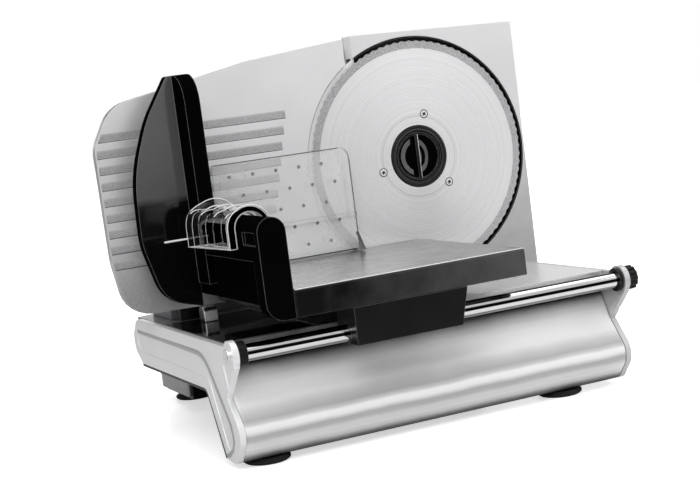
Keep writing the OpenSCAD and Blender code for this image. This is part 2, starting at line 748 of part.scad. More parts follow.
button_r = 9;
button_x = 30;
button_y = 90;
button_top = tub_top + 3;

module power_button() color([0.7, 0.1, 0.08]) placed() {
  rod_z(button_r, tub_top - 4, button_top, button_x, button_y);
  rod_z(button_r + 2, tub_top - 5, tub_top - 3.4, button_x, button_y);
  rod_z(2, tub_top - 12, tub_top - 5, button_x, button_y);
}

module switch_body() color(dark) placed() difference() {
  union() {
    box(button_x - 11, button_x + 11, button_y - 12, button_y + 12, tub_top - 26, tub_top - 7.4);
    for (s = [-1, 1]) box(button_x - 11, button_x + 11, button_y + s * 13.5 - 1.5, button_y + s * 13.5 + 1.5,
      tub_top - 26, tub_top - wall - seat);
  }
  rod_z(2 + fit, tub_top - 15, tub_top, button_x, button_y);
}

gland_r = 6;
gland_x = tub_left + 16;
gland_z = deck_h + 16;
cord_r = 3.6;

module cord_gland() color(dark) placed() difference() {
  union() {
    rod_y(gland_r, motor_back - wall - 3, motor_back, gland_x, gland_z);
    rod_y(gland_r + 2, motor_back, motor_back + 3, gland_x, gland_z);
    rod_y(gland_r + 1.6, motor_back - wall - 3, motor_back - wall, gland_x, gland_z);
  }
  rod_y(cord_r, motor_back - wall - 4, motor_back + 4, gland_x, gland_z);
}

// ---- thickness plate ----

gauge_arc = blade_r + gauge_gap;
gauge_rim = 6;
gauge_floor = slice_min + rib_h;
gauge_pts = [
  [-plate_cut - 5.5, blade_h + 102], [-136, blade_h + 94], [-gauge_left + 16, blade_h + 72],
  [-gauge_left, blade_h + 42], [-gauge_left + 1, blade_h - 46], [-gauge_left + 8, blade_h - 89],
  [-56, blade_h - 93], [-56, blade_h - 78], [-20, blade_h], [-56, blade_h + 79]
];
gauge_round = [2, 120, 28, 26, 60, 24, 2, 0, 0, 0];
gauge_mid_x = -140;
gauge_half_w = 125;
gauge_half_h = 95;
rib_top = blade_h + 46.2;
rib_fall = 5.4;
rib_step = 1.1;
rib_end = -112;
rib_lean = 3;

module gauge_outline() difference() {
  polygon(rounded(gauge_pts, gauge_round));
  translate([0, blade_h]) circle(r = gauge_arc);
}

// Same outline drawn in from its edge by the rim's wall
module gauge_inner() difference() {
  polygon(rounded([for (p = gauge_pts) [
    gauge_mid_x + (p.x - gauge_mid_x) * (1 - gauge_t / gauge_half_w),
    blade_h + (p.y - blade_h) * (1 - gauge_t / gauge_half_h)
  ]], [1, 120, 27, 25, 60, 23, 1, 0, 0, 0]));
  translate([0, blade_h]) circle(r = gauge_arc + gauge_t);
}

// A groove whose lowest point is at z: its face slopes in from the rib above and steps out to the rib below
module rib_groove(z, x_end) translate([0, slice_min, 0]) along_x(-gauge_left - 1, x_end) polygon(rounded([
  [-0.35, z + rib_fall + 5], [0, z + rib_fall], [rib_h, z], [-0.35, z - rib_step], [-2, z - rib_step],
  [-2, z + rib_fall + 5]
], [0, 12, 0.3, 0, 0, 0]));

module thickness_plate() color(silver) placed() difference() {
  along_y(slice_min, gauge_floor + gauge_rim) gauge_outline();
  along_y(gauge_floor + gauge_t, gauge_floor + gauge_rim + 1) gauge_inner();
  intersection() {
    along_y(slice_min - 1, gauge_floor + 0.1) gauge_inner();
    for (i = [0:rib_count - 1]) rib_groove(rib_top - i * rib_pitch, rib_end - i * rib_lean);
  }
}

rim_back = gauge_floor + gauge_rim;
carrier_front = gauge_floor + gauge_t + 0.1;
carrier_t = 7;
rod_r = 5;
rod_x_at = [-200, -128];
rod_z_at = deck_h + 46;
guide_front = carrier_front + carrier_t + slice_max + 2;
guide_back = guide_front + 52;
guide_left = -220;
guide_right = -112;
guide_top = deck_h + 76;
guide_wall = 6;
dial_x = (rod_x_at[0] + rod_x_at[1]) / 2;
screw_r = 4;
nut_r = 8;
nut_back = carrier_front + carrier_t + slice_max + 10;

module plate_carrier() color(dark) placed() difference() {
  union() {
    box(guide_left + 6, guide_right - 4, carrier_front, carrier_front + carrier_t, rod_z_at - 12, rod_z_at + 100);
    rod_y(nut_r, carrier_front + carrier_t - 1, nut_back, dial_x, rod_z_at);
    // foot that runs just above the deck, behind the plate's rim
    box(guide_left + 2, guide_left + 20, rim_back + seat, rim_back + seat + 3, deck_h + play, rod_z_at);
  }
  for (i = [0:2]) box(guide_left + 14, guide_right - 12, carrier_front + 2, carrier_front + carrier_t + 1,
    rod_z_at + 14 + i * 29, rod_z_at + 38 + i * 29);
  for (x = rod_x_at) rod_y(rod_r + fit, carrier_front + 1, carrier_front + carrier_t + 1, x, rod_z_at);
  rod_y(screw_r + fit, carrier_front + 4, nut_back + 1, dial_x, rod_z_at);
}

module guide_rods() color(steel) placed() for (x = rod_x_at)
  rod_y(rod_r, carrier_front + 1, guide_back - guide_wall - slice_max - 3, x, rod_z_at);

module guide_housing() color(grey) placed() difference() {
  box(guide_left, guide_right, guide_front, guide_back, deck_h + seat, guide_top);
  box(guide_left + wall, guide_right - wall, guide_front + guide_wall, guide_back - guide_wall,
    deck_h - 1, guide_top - wall);
  for (x = rod_x_at) rod_y(bush_r + fit, guide_front - 1, guide_front + guide_wall + 1, x, rod_z_at);
  rod_y(nut_r + play, guide_front - 1, guide_front + guide_wall + 1, dial_x, rod_z_at);
  rod_y(screw_r + fit, guide_back - guide_wall - 1, guide_back + 1, dial_x, rod_z_at);
}

bush_r = rod_r + 2.5;

module guide_bushes() color([0.8, 0.66, 0.35]) placed() for (x = rod_x_at)
  tube_y(bush_r, rod_r + fit, guide_front, guide_front + 24, x, rod_z_at);

dial_r = 21;
dial_t = 14;

module dial_screw() color(steel) placed() {
  rod_y(screw_r, carrier_front + slice_max + 5, guide_back + 4, dial_x, rod_z_at);
  rod_y(screw_r + 3, guide_back - guide_wall - 3, guide_back - guide_wall - 0.5, dial_x, rod_z_at);
}

module thickness_dial() color(dark) placed() difference() {
  union() {
    rod_y(dial_r, guide_back + 0.5, guide_back + 5, dial_x, rod_z_at);
    rod_y(dial_r - 5, guide_back + 4, guide_back + dial_t, dial_x, rod_z_at);
    for (i = [0:17]) rod_y(1.6, guide_back + 4, guide_back + dial_t - 1,
      dial_x + (dial_r - 5) * cos(i * 20), rod_z_at + (dial_r - 5) * sin(i * 20));
  }
  rod_y(screw_r + fit, guide_back, guide_back + 4.1, dial_x, rod_z_at);
}

tray_left = -tray_right - tray_l;
stop_left = tray_left + 3.5;
stop_w = 11;

stop_front = -17;
stop_back = -4;
stop_h = 11.5;
stop_chamfer = 2.5;

module stop_block() color(steel) placed() along_x(stop_left, stop_left + stop_w) polygon([
  [stop_front, deck_h], [stop_front, deck_h + stop_h - stop_chamfer], [stop_front + stop_chamfer, deck_h + stop_h],
  [stop_back - stop_chamfer, deck_h + stop_h], [stop_back, deck_h + stop_h - stop_chamfer], [stop_back, deck_h]
]);

// ---- carriage ----

fence_left = tray_left;
fence_right = tray_left + fence_w;
skirt_foot = tray_h - skirt_h;
tray_wall = 2.5;
tray_under = tray_h - tray_sheet;
post_depth = 14;
bar_back = -52;
recess_front = -tray_front + 6;

module tray_frame() color(dark) placed() difference() {
  box(fence_right + seat, -tray_right, -tray_front, -tray_gap, skirt_foot, tray_under);
  box(fence_right + tray_wall, -tray_right - tray_wall, -tray_front + tray_wall, -tray_gap - tray_wall,
    skirt_foot - 1, tray_under - tray_wall);
}

module tray_plate() color(steel) placed()
  box(fence_right + seat + 1, -tray_right - 1, -tray_front + 1, -tray_gap - 1, tray_under, tray_h);

// Fence: front post with a rounded top, the bar behind it and the low wall under the bar
module fence_profile() {
  translate([(fence_left + fence_right) / 2, fence_h - fence_w / 2]) circle(r = fence_w / 2);
  translate([fence_left, fence_h - 30]) square([fence_w, 30 - fence_w / 2]);
}

module fence() color(dark) placed() {
  difference() {
    along_y(-tray_front, bar_back) fence_profile();
    box(fence_left - 1, fence_left + 2, recess_front, recess_front + 24, fence_h - 19, fence_h - 10);
  }
  // post down to the foot of the skirt
  along_y(-tray_front, -tray_front + post_depth) polygon(rounded([
    [fence_left, fence_h - 28], [fence_left, skirt_foot], [fence_right, skirt_foot], [fence_right, fence_h - 28]
  ], [0, 13, 0, 0]));
  // low wall
  along_x(fence_left + 6, fence_left + 10) polygon([
    [-tray_front + post_depth - 1, skirt_foot + 20], [bar_back, skirt_foot + 8], [bar_back, fence_h - 28],
    [-tray_front + post_depth - 1, fence_h - 28]
  ]);
  // sill that the tray frame is screwed to
  box(fence_left + 6, fence_right, -tray_front + post_depth - 1, -tray_gap - 3, skirt_foot + 9, tray_under);
}

guard_wall_t = 12;
guard_back = -17;
guard_leaf_y = -27;
guard_low = skirt_foot + 1;
leaf_mid = (guard_h + guard_low) / 2;
leaf_line = rounded([
  [fence_left + 1, guard_h], [fence_left - 4, guard_h], [fence_left - 24, guard_h - 31],
  [fence_left - leaf_w + 1, fence_h + 33.7], [fence_left - leaf_w, fence_h - 18.3],
  [fence_left - leaf_w + 12, guard_low + 8], [fence_left + 1, guard_low]
], [0, 3, 90, 120, 60, 26, 0]);

// Hand guard: a leaf across the fence with a rim behind it, and a tall wall in line with the fence
module hand_guard() color(dark) placed() {
  difference() {
    along_y(guard_leaf_y, guard_back) polygon(leaf_line);
    along_y(guard_leaf_y + 3, guard_back + 1) translate([fence_left, leaf_mid]) scale([0.88, 0.96])
      translate([-fence_left, -leaf_mid]) polygon(leaf_line);
  }
  along_x(fence_left, fence_left + guard_wall_t) polygon(rounded([
    [guard_back, tray_under + seat], [guard_back, guard_h], [bar_back + 1, guard_h],
    [bar_back + seat, tray_under + seat]
  ], [0, 8, 22, 0]));
}

slider_top = skirt_foot - 0.1;
slider_back = rail_y - 15;
slider_left = -147;
slider_right = slider_left + slider_l;
slider_foot = rail_h - rail_r - 1.6;
slider_bore = rail_r + 1.2;

module slide_foot() color(dark) placed() difference() {
  along_y(-tray_front, -slider_back) polygon([
    [slider_left, slider_foot], [slider_right - 7, slider_foot], [slider_right, slider_top],
    [slider_left, slider_top]
  ]);
  rod_x(slider_bore + fit, slider_left - 1, slider_right + 1, -rail_y, rail_h);
}

module slide_bushes() color([0.85, 0.84, 0.78]) placed() {
  tube_x(slider_bore, rail_r + fit, slider_left, slider_left + 26, -rail_y, rail_h);
  tube_x(slider_bore, rail_r + fit, slider_right - 34, slider_right - 8, -rail_y, rail_h);
}

skid_left = slider_left + 5;
skid_right = slider_right - 13;
skid_y = -56;

module tray_skid() color(dark) placed() {
  box(skid_left, skid_right, skid_y - 6, skid_y + 6, deck_h + play, tray_under - tray_wall);
  box(skid_left, skid_right, skid_y - 10, skid_y + 10, deck_h + play, deck_h + play + 4);
}

// ---- pusher ----

pusher_right = -66;
pusher_left = pusher_right - pusher_w;
pusher_low = tray_h + slip;
pusher_top = pusher_low + pusher_h;
pusher_back = -slip - spike_l;
pusher_front = pusher_back - clear_t;
ledge_h = tray_h + 30;
spike_pitch = 19.6;
arm_tab = 8;
clear_color = [0.85, 0.9, 0.92, 0.35];

module pusher_plate() color(clear_color) placed() {
  along_y(pusher_front, pusher_back) polygon(rounded([
    [pusher_left, pusher_low], [pusher_right, pusher_low], [pusher_right, pusher_top], [pusher_left, pusher_top]
  ], [2, 2, 9, 2]));
  box(pusher_left + arm_tab + seat, pusher_right, pusher_front - 1.2, pusher_front + 0.1, ledge_h - 1.5, ledge_h + 1.5);
  // gusset at the lower right
  along_x(pusher_right - clear_t, pusher_right) polygon([
    [pusher_front + 0.1, pusher_low], [pusher_front - 11, pusher_low], [pusher_front + 0.1, pusher_low + 14]
  ]);
  for (row = [0:4], col = [0:4]) let (x = pusher_left + 14 + col * spike_pitch + (row % 2) * spike_pitch / 2,
    z = pusher_low + 10 + row * 15.5)
    translate([x, pusher_back - 0.1, z]) rotate([-90, 0, 0]) cylinder(r1 = 1.5, r2 = 0.4, h = spike_l);
}

grip_back = bar_back - 1.4;
grip_front = grip_back - grip_l;
grip_mid = (fence_left + fence_right) / 2;
grip_r_in = fence_w / 2 + play;
grip_r_out = grip_r_in + clear_t;
grip_low = fence_h - 22;
arm_x = grip_mid + grip_r_in + 1;

module grip_ring(y0, y1, ro) difference() {
  along_y(y0, y1) translate([grip_mid, fence_h - fence_w / 2]) union() {
    circle(r = ro);
    translate([-ro, grip_low - fence_h + fence_w / 2]) square([2 * ro, fence_h - fence_w / 2 - grip_low]);
  }
  along_y(y0 - 1, y1 + 1) translate([grip_mid, fence_h - fence_w / 2]) union() {
    circle(r = grip_r_in);
    translate([-grip_r_in, grip_low - fence_h]) square([2 * grip_r_in, fence_h - grip_low]);
  }
}

// Clear grip that straddles the fence bar: a saddle with two finger grooves and a larger rim at each end
module pusher_grip() color(clear_color) placed() {
  difference() {
    grip_ring(grip_front, grip_back, grip_r_out);
    for (k = [0.36, 0.64]) translate([grip_mid, grip_front + grip_l * k, fence_h + clear_t + 13])
      rotate([0, 90, 0]) cylinder(r = 12.2, h = 60, center = true);
  }
  grip_ring(grip_front, grip_front + clear_t, grip_r_out + 3);
  grip_ring(grip_back - clear_t, grip_back, grip_r_out + 8);
  // finger plate to the left and the arm to the plate at the right
  box(grip_mid - grip_r_out - 28, grip_mid - grip_r_out - 7, grip_back - clear_t, grip_back, grip_low + 4, grip_low + 6.5);
  box(arm_x, arm_x + clear_t, grip_front + 2, pusher_front - seat, grip_low, grip_low + 24);
  box(arm_x, pusher_left + arm_tab, pusher_front - clear_t, pusher_front - 0.05, grip_low, grip_low + 24);
}

front_panel();
left_end_cap();
right_end_cap();
deck_cover();
deck_inlay();
bottom_pan();
feet();
foot_screws();
guide_rail();
rail_bumpers();
rail_screw();
rail_knob();
blade_housing();
blade_well();
motor_housing();
housing_screws();
gearbox_front();
gearbox_rear();
shaft_bearings();
motor_stator();
motor_bearing();
idler_pin();
switch_body();
cord_gland();
guide_housing();
guide_bushes();
stop_block();
blade_disc();
blade_screws();
blade_flange();
hub_ring();
hub_grip();
blade_shaft();
drive_gear();
idler_gear();
motor_pinion();
motor_rotor();
cooling_fan();
thickness_plate();
plate_carrier();
guide_rods();
thickness_dial();
dial_screw();
power_button();
tray_frame();
tray_plate();
fence();
hand_guard();
slide_foot();
slide_bushes();
tray_skid();
pusher_plate();
pusher_grip();
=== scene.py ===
"""Looks of an electric food slicer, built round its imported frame."""

import json
import math

import bmesh
import bpy
from mathutils import Matrix, Vector


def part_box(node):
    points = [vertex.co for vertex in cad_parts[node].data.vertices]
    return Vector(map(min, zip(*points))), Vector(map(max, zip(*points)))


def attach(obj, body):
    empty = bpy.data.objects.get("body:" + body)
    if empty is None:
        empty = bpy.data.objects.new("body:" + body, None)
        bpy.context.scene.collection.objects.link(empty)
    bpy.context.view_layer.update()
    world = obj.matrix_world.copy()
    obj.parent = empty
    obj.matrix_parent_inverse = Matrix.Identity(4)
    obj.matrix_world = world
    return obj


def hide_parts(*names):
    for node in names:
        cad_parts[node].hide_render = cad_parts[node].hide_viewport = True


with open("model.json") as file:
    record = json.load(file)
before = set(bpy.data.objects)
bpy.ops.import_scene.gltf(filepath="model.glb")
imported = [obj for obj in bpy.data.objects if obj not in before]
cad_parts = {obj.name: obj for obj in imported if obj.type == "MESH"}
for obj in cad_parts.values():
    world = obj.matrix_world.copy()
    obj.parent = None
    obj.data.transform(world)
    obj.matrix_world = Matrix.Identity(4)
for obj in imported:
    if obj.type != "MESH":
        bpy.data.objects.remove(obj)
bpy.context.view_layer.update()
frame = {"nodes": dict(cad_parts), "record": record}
nodes = frame["nodes"]
scene = bpy.context.scene


# ---- shader building blocks ----


class Net:
    """Adds shader nodes to a tree and joins them."""

    def __init__(self, tree):
        self.tree = tree

    def fill(self, node, values):
        """Sets a node's inputs; a socket among the values is linked."""
        for key, value in values.items():
            if isinstance(value, bpy.types.NodeSocket):
                self.tree.links.new(value, node.inputs[key])
            else:
                node.inputs[key].default_value = value
        return node

    def add(self, kind, values=None, **settings):
        node = self.tree.nodes.new("ShaderNode" + kind)
        for name, value in settings.items():
            setattr(node, name, value)
        return self.fill(node, values or {})

    def math(self, operation, a, b=0.0):
        return self.add("Math", {0: a, 1: b}, operation=operation).outputs[0]

    def along(self, axis, what="Object"):
        """The surface's place along one axis, or its normal if that is what is asked for."""
        return self.add("SeparateXYZ", {0: self.add("TexCoord").outputs[what]}).outputs[axis]

    def span(self, value, low, high, to_low=0.0, to_high=1.0):
        """Turns the range low to high into the range to_low to to_high, and stays inside it."""
        return self.add(
            "MapRange",
            {"Value": value, "From Min": low, "From Max": high, "To Min": to_low, "To Max": to_high},
        ).outputs[0]

    def group(self, tree, values):
        node = self.tree.nodes.new("ShaderNodeGroup")
        node.node_tree = tree
        return self.fill(node, values).outputs


NOISE_RANGE = (0.3, 0.7)  # between these lies nearly all of a noise
EDGE_RADIUS = 0.0006


def start_group(name, inputs, outputs):
    """A shader node group with named sockets: (tree, its net, its input sockets, its output node)."""
    tree = bpy.data.node_groups.new(name, "ShaderNodeTree")
    for key, (kind, value) in inputs.items():
        socket = tree.interface.new_socket(key, in_out="INPUT", socket_type="NodeSocket" + kind)
        if value is not None:
            socket.default_value = value
    for key, kind in outputs.items():
        tree.interface.new_socket(key, in_out="OUTPUT", socket_type="NodeSocket" + kind)
    net = Net(tree)
    return tree, net, tree.nodes.new("NodeGroupInput").outputs, tree.nodes.new("NodeGroupOutput")


def cloudy_group():
    """A slow cloudy change between two values."""
    tree, net, given, out = start_group(
        "cloudy value",
        {"Scale": ("Float", 20.0), "Low": ("Float", 0.0), "High": ("Float", 1.0)},
        {"Value": "Float"},
    )
    place = net.add("TexCoord").outputs["Object"]
    noise = net.add("TexNoise", {"Vector": place, "Scale": given["Scale"], "Detail": 3.0})
    value = net.span(noise.outputs[0], *NOISE_RANGE, given["Low"], given["High"])
    tree.links.new(value, out.inputs["Value"])
    return tree


def drawn_group():
    """Fine lines drawn out along one axis: a value and its bump normal."""
    tree, net, given, out = start_group(
        "drawn lines",
        {"Stretch": ("Vector", (1.0, 1.0, 1.0)), "Low": ("Float", 0.0), "High": ("Float", 1.0),
         "Depth": ("Float", 0.00001), "Normal": ("Vector", None)},
        {"Value": "Float", "Normal": "Vector"},
    )
    place = net.add("TexCoord").outputs["Object"]
    drawn = net.add("VectorMath", {0: place, 1: given["Stretch"]}, operation="MULTIPLY").outputs[0]
    noise = net.add("TexNoise", {"Vector": drawn, "Scale": 1.0, "Detail": 4.0})
    value = net.span(noise.outputs[0], *NOISE_RANGE, given["Low"], given["High"])
    bump = net.add(
        "Bump",
        {"Height": noise.outputs[0], "Distance": given["Depth"], "Normal": given["Normal"]},
    )
    tree.links.new(value, out.inputs["Value"])
    tree.links.new(bump.outputs[0], out.inputs["Normal"])
    return tree


def grain_group():
    """A fine even grain as a bump normal."""
    tree, net, given, out = start_group(
        "fine grain",
        {"Scale": ("Float", 900.0), "Depth": ("Float", 0.00002), "Normal": ("Vector", None)},
        {"Normal": "Vector", "Value": "Float"},
    )
    place = net.add("TexCoord").outputs["Object"]
    noise = net.add("TexNoise", {"Vector": place, "Scale": given["Scale"], "Detail": 2.0})
    bump = net.add(
        "Bump",
        {"Height": noise.outputs[0], "Distance": given["Depth"], "Normal": given["Normal"]},
    )
    tree.links.new(bump.outputs[0], out.inputs["Normal"])
    tree.links.new(noise.outputs[0], out.inputs["Value"])
    return tree


def edge_group():
    """Softly rounded edges: their normal, and a mask that is 1 along them."""
    tree, net, given, out = start_group(
        "softened edges",
        {"Mask Gain": ("Float", 4.0)},
        {"Normal": "Vector", "Edge": "Float"},
    )
    soft = net.add("Bevel", {"Radius": EDGE_RADIUS}, samples=4).outputs[0]
    true = net.add("NewGeometry").outputs["Normal"]
    same = net.add("VectorMath", {0: soft, 1: true}, operation="DOT_PRODUCT").outputs["Value"]
    off = net.math("SUBTRACT", 1.0, same)
    mask = net.add("Math", {0: off, 1: given["Mask Gain"]}, operation="MULTIPLY", use_clamp=True).outputs[0]
    tree.links.new(soft, out.inputs["Normal"])
    tree.links.new(mask, out.inputs["Edge"])
    return tree


CLOUDY = cloudy_group()
DRAWN = drawn_group()
GRAIN = grain_group()
EDGES = edge_group()


def new_material(name):
    """An empty node material: (material, its net, its Principled node)."""
    material = bpy.data.materials.new(name)
    material.use_nodes = True
    material.node_tree.nodes.clear()
    net = Net(material.node_tree)
    shader = net.add("BsdfPrincipled")
    out = net.add("OutputMaterial")
    net.tree.links.new(shader.outputs[0], out.inputs[0])
    return material, net, shader


def mixed(net, factor, a, b):
    """Colour a where factor is 0, colour b where it is 1."""
    node = net.add("Mix", {"Factor": factor}, data_type="RGBA")
    for key, colour in ((6, a), (7, b)):
        if isinstance(colour, bpy.types.NodeSocket):
            net.tree.links.new(colour, node.inputs[key])
        else:
            node.inputs[key].default_value = (*colour, 1.0)
    return node.outputs[2]


def ramp(net, value, low, high, stops):
    """A grey that follows the (position, grey) stops as the value runs from low to high."""
    node = net.add("ValToRGB", {0: net.span(value, low, high)})
    line = node.color_ramp.elements
    while len(line) < len(stops):
        line.new(1.0)
    for element, (place, grey) in zip(line, stops):
        element.position = (place - low) / (high - low)
        element.color = (grey, grey, grey, 1.0)
    return node.outputs[0]


SHADER_SOCKETS = {"ior": "IOR", "specular": "Specular IOR Level"}


def set_shader(shader, **constants):
    """Sets values that are the same all over the surface."""
    for key, value in constants.items():
        shader.inputs[SHADER_SOCKETS.get(key, key.replace("_", " ").title())].default_value = value


def cloud_of(colour, spread):
    """The darker and the lighter colour between which a finish clouds."""
    return tuple(c * (1 - spread) for c in colour), tuple(min(1.0, c * (1 + spread)) for c in colour)


def turned_to(net, base, painted_light):
    """Paints light or shade into a base colour: it turns into another grey along an axis, set out as (axis,
    start, end, grey).
    """
    if not painted_light:
        return base
    axis, start, end, grey = painted_light
    reach = abs(end - start) * 0.1
    wave = net.group(CLOUDY, {"Scale": 60.0, "Low": -reach, "High": reach})["Value"]
    share = net.span(net.math("ADD", net.along(axis), wave), start, end)
    return mixed(net, share, base, (grey, grey, grey))


def finish(name, colour, rough, metallic=0.0, spread=0.06, patch=18.0, grain=900.0, depth=0.00001,
           edge=0.25, painted_light=None, **constants):
    """A moulded, painted or machined finish with cloudy colour, uneven gloss and grain; its edges are
    lighter, partly wear and partly a painted highlight, and light or shade is painted along an axis where
    asked.
    """
    material, net, shader = new_material(name)
    edges = net.group(EDGES, {"Mask Gain": 4.0})
    cloud = net.group(CLOUDY, {"Scale": patch, "Low": 0.0, "High": 1.0})["Value"]
    base = turned_to(net, mixed(net, cloud, *cloud_of(colour, spread)), painted_light)
    # Lighter edges: partly wear, partly a painted highlight, under the same painted light or shade.
    worn_and_highlit_blend = painted_light and (*painted_light[:3], painted_light[3] + (1 - painted_light[3]) * edge)
    worn_and_highlit = turned_to(net, tuple(c + (1 - c) * edge for c in colour), worn_and_highlit_blend)
    net.tree.links.new(mixed(net, edges["Edge"], base, worn_and_highlit), shader.inputs["Base Color"])
    gloss = net.group(CLOUDY, {"Scale": patch * 3.1, "Low": rough[0], "High": rough[1]})["Value"]
    net.tree.links.new(gloss, shader.inputs["Roughness"])
    normal = net.group(GRAIN, {"Scale": grain, "Depth": depth, "Normal": edges["Normal"]})["Normal"]
    net.tree.links.new(normal, shader.inputs["Normal"])
    set_shader(shader, metallic=metallic, **constants)
    return material


def drawn_metal(name, colour, rough, stretch, depth=0.000012, metallic=1.0, spread=0.08, painted_light=None,
                **constants):
    """Metal sheet brushed along one axis, with light or shade painted along an axis where asked."""
    material, net, shader = new_material(name)
    edges = net.group(EDGES, {"Mask Gain": 3.0})
    lines = net.group(
        DRAWN,
        {"Stretch": stretch, "Low": rough[0], "High": rough[1], "Depth": depth, "Normal": edges["Normal"]},
    )
    tone = net.group(DRAWN, {"Stretch": stretch, "Low": 0.0, "High": 1.0})["Value"]
    base = turned_to(net, mixed(net, tone, *cloud_of(colour, spread)), painted_light)
    net.tree.links.new(base, shader.inputs["Base Color"])
    net.tree.links.new(lines["Value"], shader.inputs["Roughness"])
    net.tree.links.new(lines["Normal"], shader.inputs["Normal"])
    set_shader(shader, metallic=metallic, **constants)
    return material


# ---- finishes ----

disc_low, disc_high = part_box("blade_disc")
BLADE_AXIS = (disc_low + disc_high) / 2
BLADE_RADIUS = (disc_high.x - disc_low.x) / 2
GROUND_BAND = 0.0065
GROOVE_RADIUS = 0.033
RINGS_PER_METRE = 420.0
LINES_PER_METRE = 2600.0


def blade_finish():
    """Spun steel with turned rings, a thin dark ring painted as shade at GROOVE_RADIUS, and a matt ground
    band with the teeth outside them.
    """
    material, net, shader = new_material("spun blade steel")
    place = net.add("TexCoord").outputs["Object"]
    from_axis = net.add("VectorMath", {0: place, 1: BLADE_AXIS}, operation="SUBTRACT").outputs[0]
    flat = net.add("VectorMath", {0: from_axis, 1: (1.0, 0.0, 1.0)}, operation="MULTIPLY").outputs[0]
    radius = net.add("VectorMath", {0: flat}, operation="LENGTH").outputs["Value"]
    rings, fine = (
        net.add(
            "TexNoise", {"W": net.math("MULTIPLY", radius, often), "Scale": 1.0, "Detail": detail},
            noise_dimensions="1D",
        ).outputs[0]
        for often, detail in ((RINGS_PER_METRE, 4.0), (LINES_PER_METRE, 2.0))
    )
    band = net.span(radius, BLADE_RADIUS - GROUND_BAND - 0.0002, BLADE_RADIUS - GROUND_BAND)
    speck = net.group(GRAIN, {"Scale": 1000.0, "Depth": 0.00005})
    tone = mixed(net, net.span(rings, 0.35, 0.65), (0.88, 0.88, 0.89), (0.93, 0.93, 0.94))
    # Painted shade: a thin dark ring at GROOVE_RADIUS.
    from_groove = net.math("ABSOLUTE", net.math("SUBTRACT", radius, GROOVE_RADIUS))
    groove = net.span(from_groove, 0.0002, 0.0006, 0.4, 0.0)
    spun = mixed(net, groove, tone, (0.2, 0.2, 0.2))
    ground = mixed(net, net.span(speck["Value"], 0.4, 0.6), (0.34, 0.34, 0.35), (0.62, 0.62, 0.63))
    net.tree.links.new(mixed(net, band, spun, ground), shader.inputs["Base Color"])
    rough = net.math("ADD", net.span(fine, 0.3, 0.7, 0.27, 0.34), net.math("MULTIPLY", band, 0.25))
    net.tree.links.new(rough, shader.inputs["Roughness"])
    bump = net.add("Bump", {"Height": fine, "Distance": 0.0000015}).outputs[0]
    net.tree.links.new(bump, shader.inputs["Normal"])
    around = net.add("VectorMath", {0: flat, 1: (0.0, 1.0, 0.0)}, operation="CROSS_PRODUCT").outputs[0]
    net.tree.links.new(around, shader.inputs["Tangent"])
    set_shader(shader, metallic=0.62, anisotropic=0.5)
    return material


def clear_finish():
    """Clear plastic with faint haze and flow marks."""
    material, net, shader = new_material("clear moulded plastic")
    haze = net.group(CLOUDY, {"Scale": 60.0, "Low": 0.01, "High": 0.05})["Value"]
    net.tree.links.new(haze, shader.inputs["Roughness"])
    flow = net.group(GRAIN, {"Scale": 90.0, "Depth": 0.00003})["Normal"]
    net.tree.links.new(flow, shader.inputs["Normal"])
    shader.inputs["Base Color"].default_value = (0.97, 0.98, 0.98, 1.0)
    set_shader(shader, transmission_weight=1.0, ior=1.45)
    return material


def sheet_finish(name, grey, veil):
    """Thin clear sheet with a faint veil that light passes straight through."""
    material, net, shader = new_material(name)
    haze = net.group(CLOUDY, {"Scale": 40.0, "Low": 0.05, "High": 0.14})["Value"]
    net.tree.links.new(haze, shader.inputs["Roughness"])
    cover = net.group(CLOUDY, {"Scale": 25.0, "Low": veil[0], "High": veil[1]})["Value"]
    net.tree.links.new(cover, shader.inputs["Alpha"])
    shader.inputs["Base Color"].default_value = (grey, grey, grey, 1.0)
    return material


def gauge_finish():
    """Satin plate metal with shade painted in: a darker speckled grey where the pressed grooves turn down, a
    darker lower left corner, and dark up-facing steps.
    """
    material, net, shader = new_material("satin plate silver")
    edges = net.group(EDGES, {"Mask Gain": 4.0})
    grain = net.group(GRAIN, {"Scale": 1300.0, "Depth": 0.00002, "Normal": edges["Normal"]})
    cloud = net.group(CLOUDY, {"Scale": 14.0, "Low": 0.0, "High": 1.0})["Value"]
    flat = mixed(net, cloud, (0.84, 0.84, 0.85), (0.92, 0.92, 0.93))
    speck = mixed(net, net.span(grain["Value"], 0.35, 0.65), (0.44, 0.44, 0.45), (0.74, 0.74, 0.75))
    # Painted shade: set by which way the surface faces, and by place in the lower left corner.
    up = net.along("Z", "Normal")
    shade = net.span(up, -0.04, -0.3)
    low_down = net.span(net.along("Z"), 0.16, 0.105)
    corner = net.math("MULTIPLY", low_down, net.span(net.along("X"), -0.13, -0.155, 0.0, 0.75))
    painted_shade_tone = mixed(net, net.math("MAXIMUM", shade, corner), flat, speck)
    painted_shade_tone = mixed(net, net.math("MULTIPLY", corner, 0.6), painted_shade_tone, (0.2, 0.2, 0.2))
    tone = mixed(net, net.span(up, 0.3, 0.6), painted_shade_tone, (0.16, 0.16, 0.16))
    net.tree.links.new(tone, shader.inputs["Base Color"])
    net.tree.links.new(net.span(shade, 0.0, 1.0, 0.36, 0.6), shader.inputs["Roughness"])
    net.tree.links.new(grain["Normal"], shader.inputs["Normal"])
    set_shader(shader, metallic=0.6)
    return material


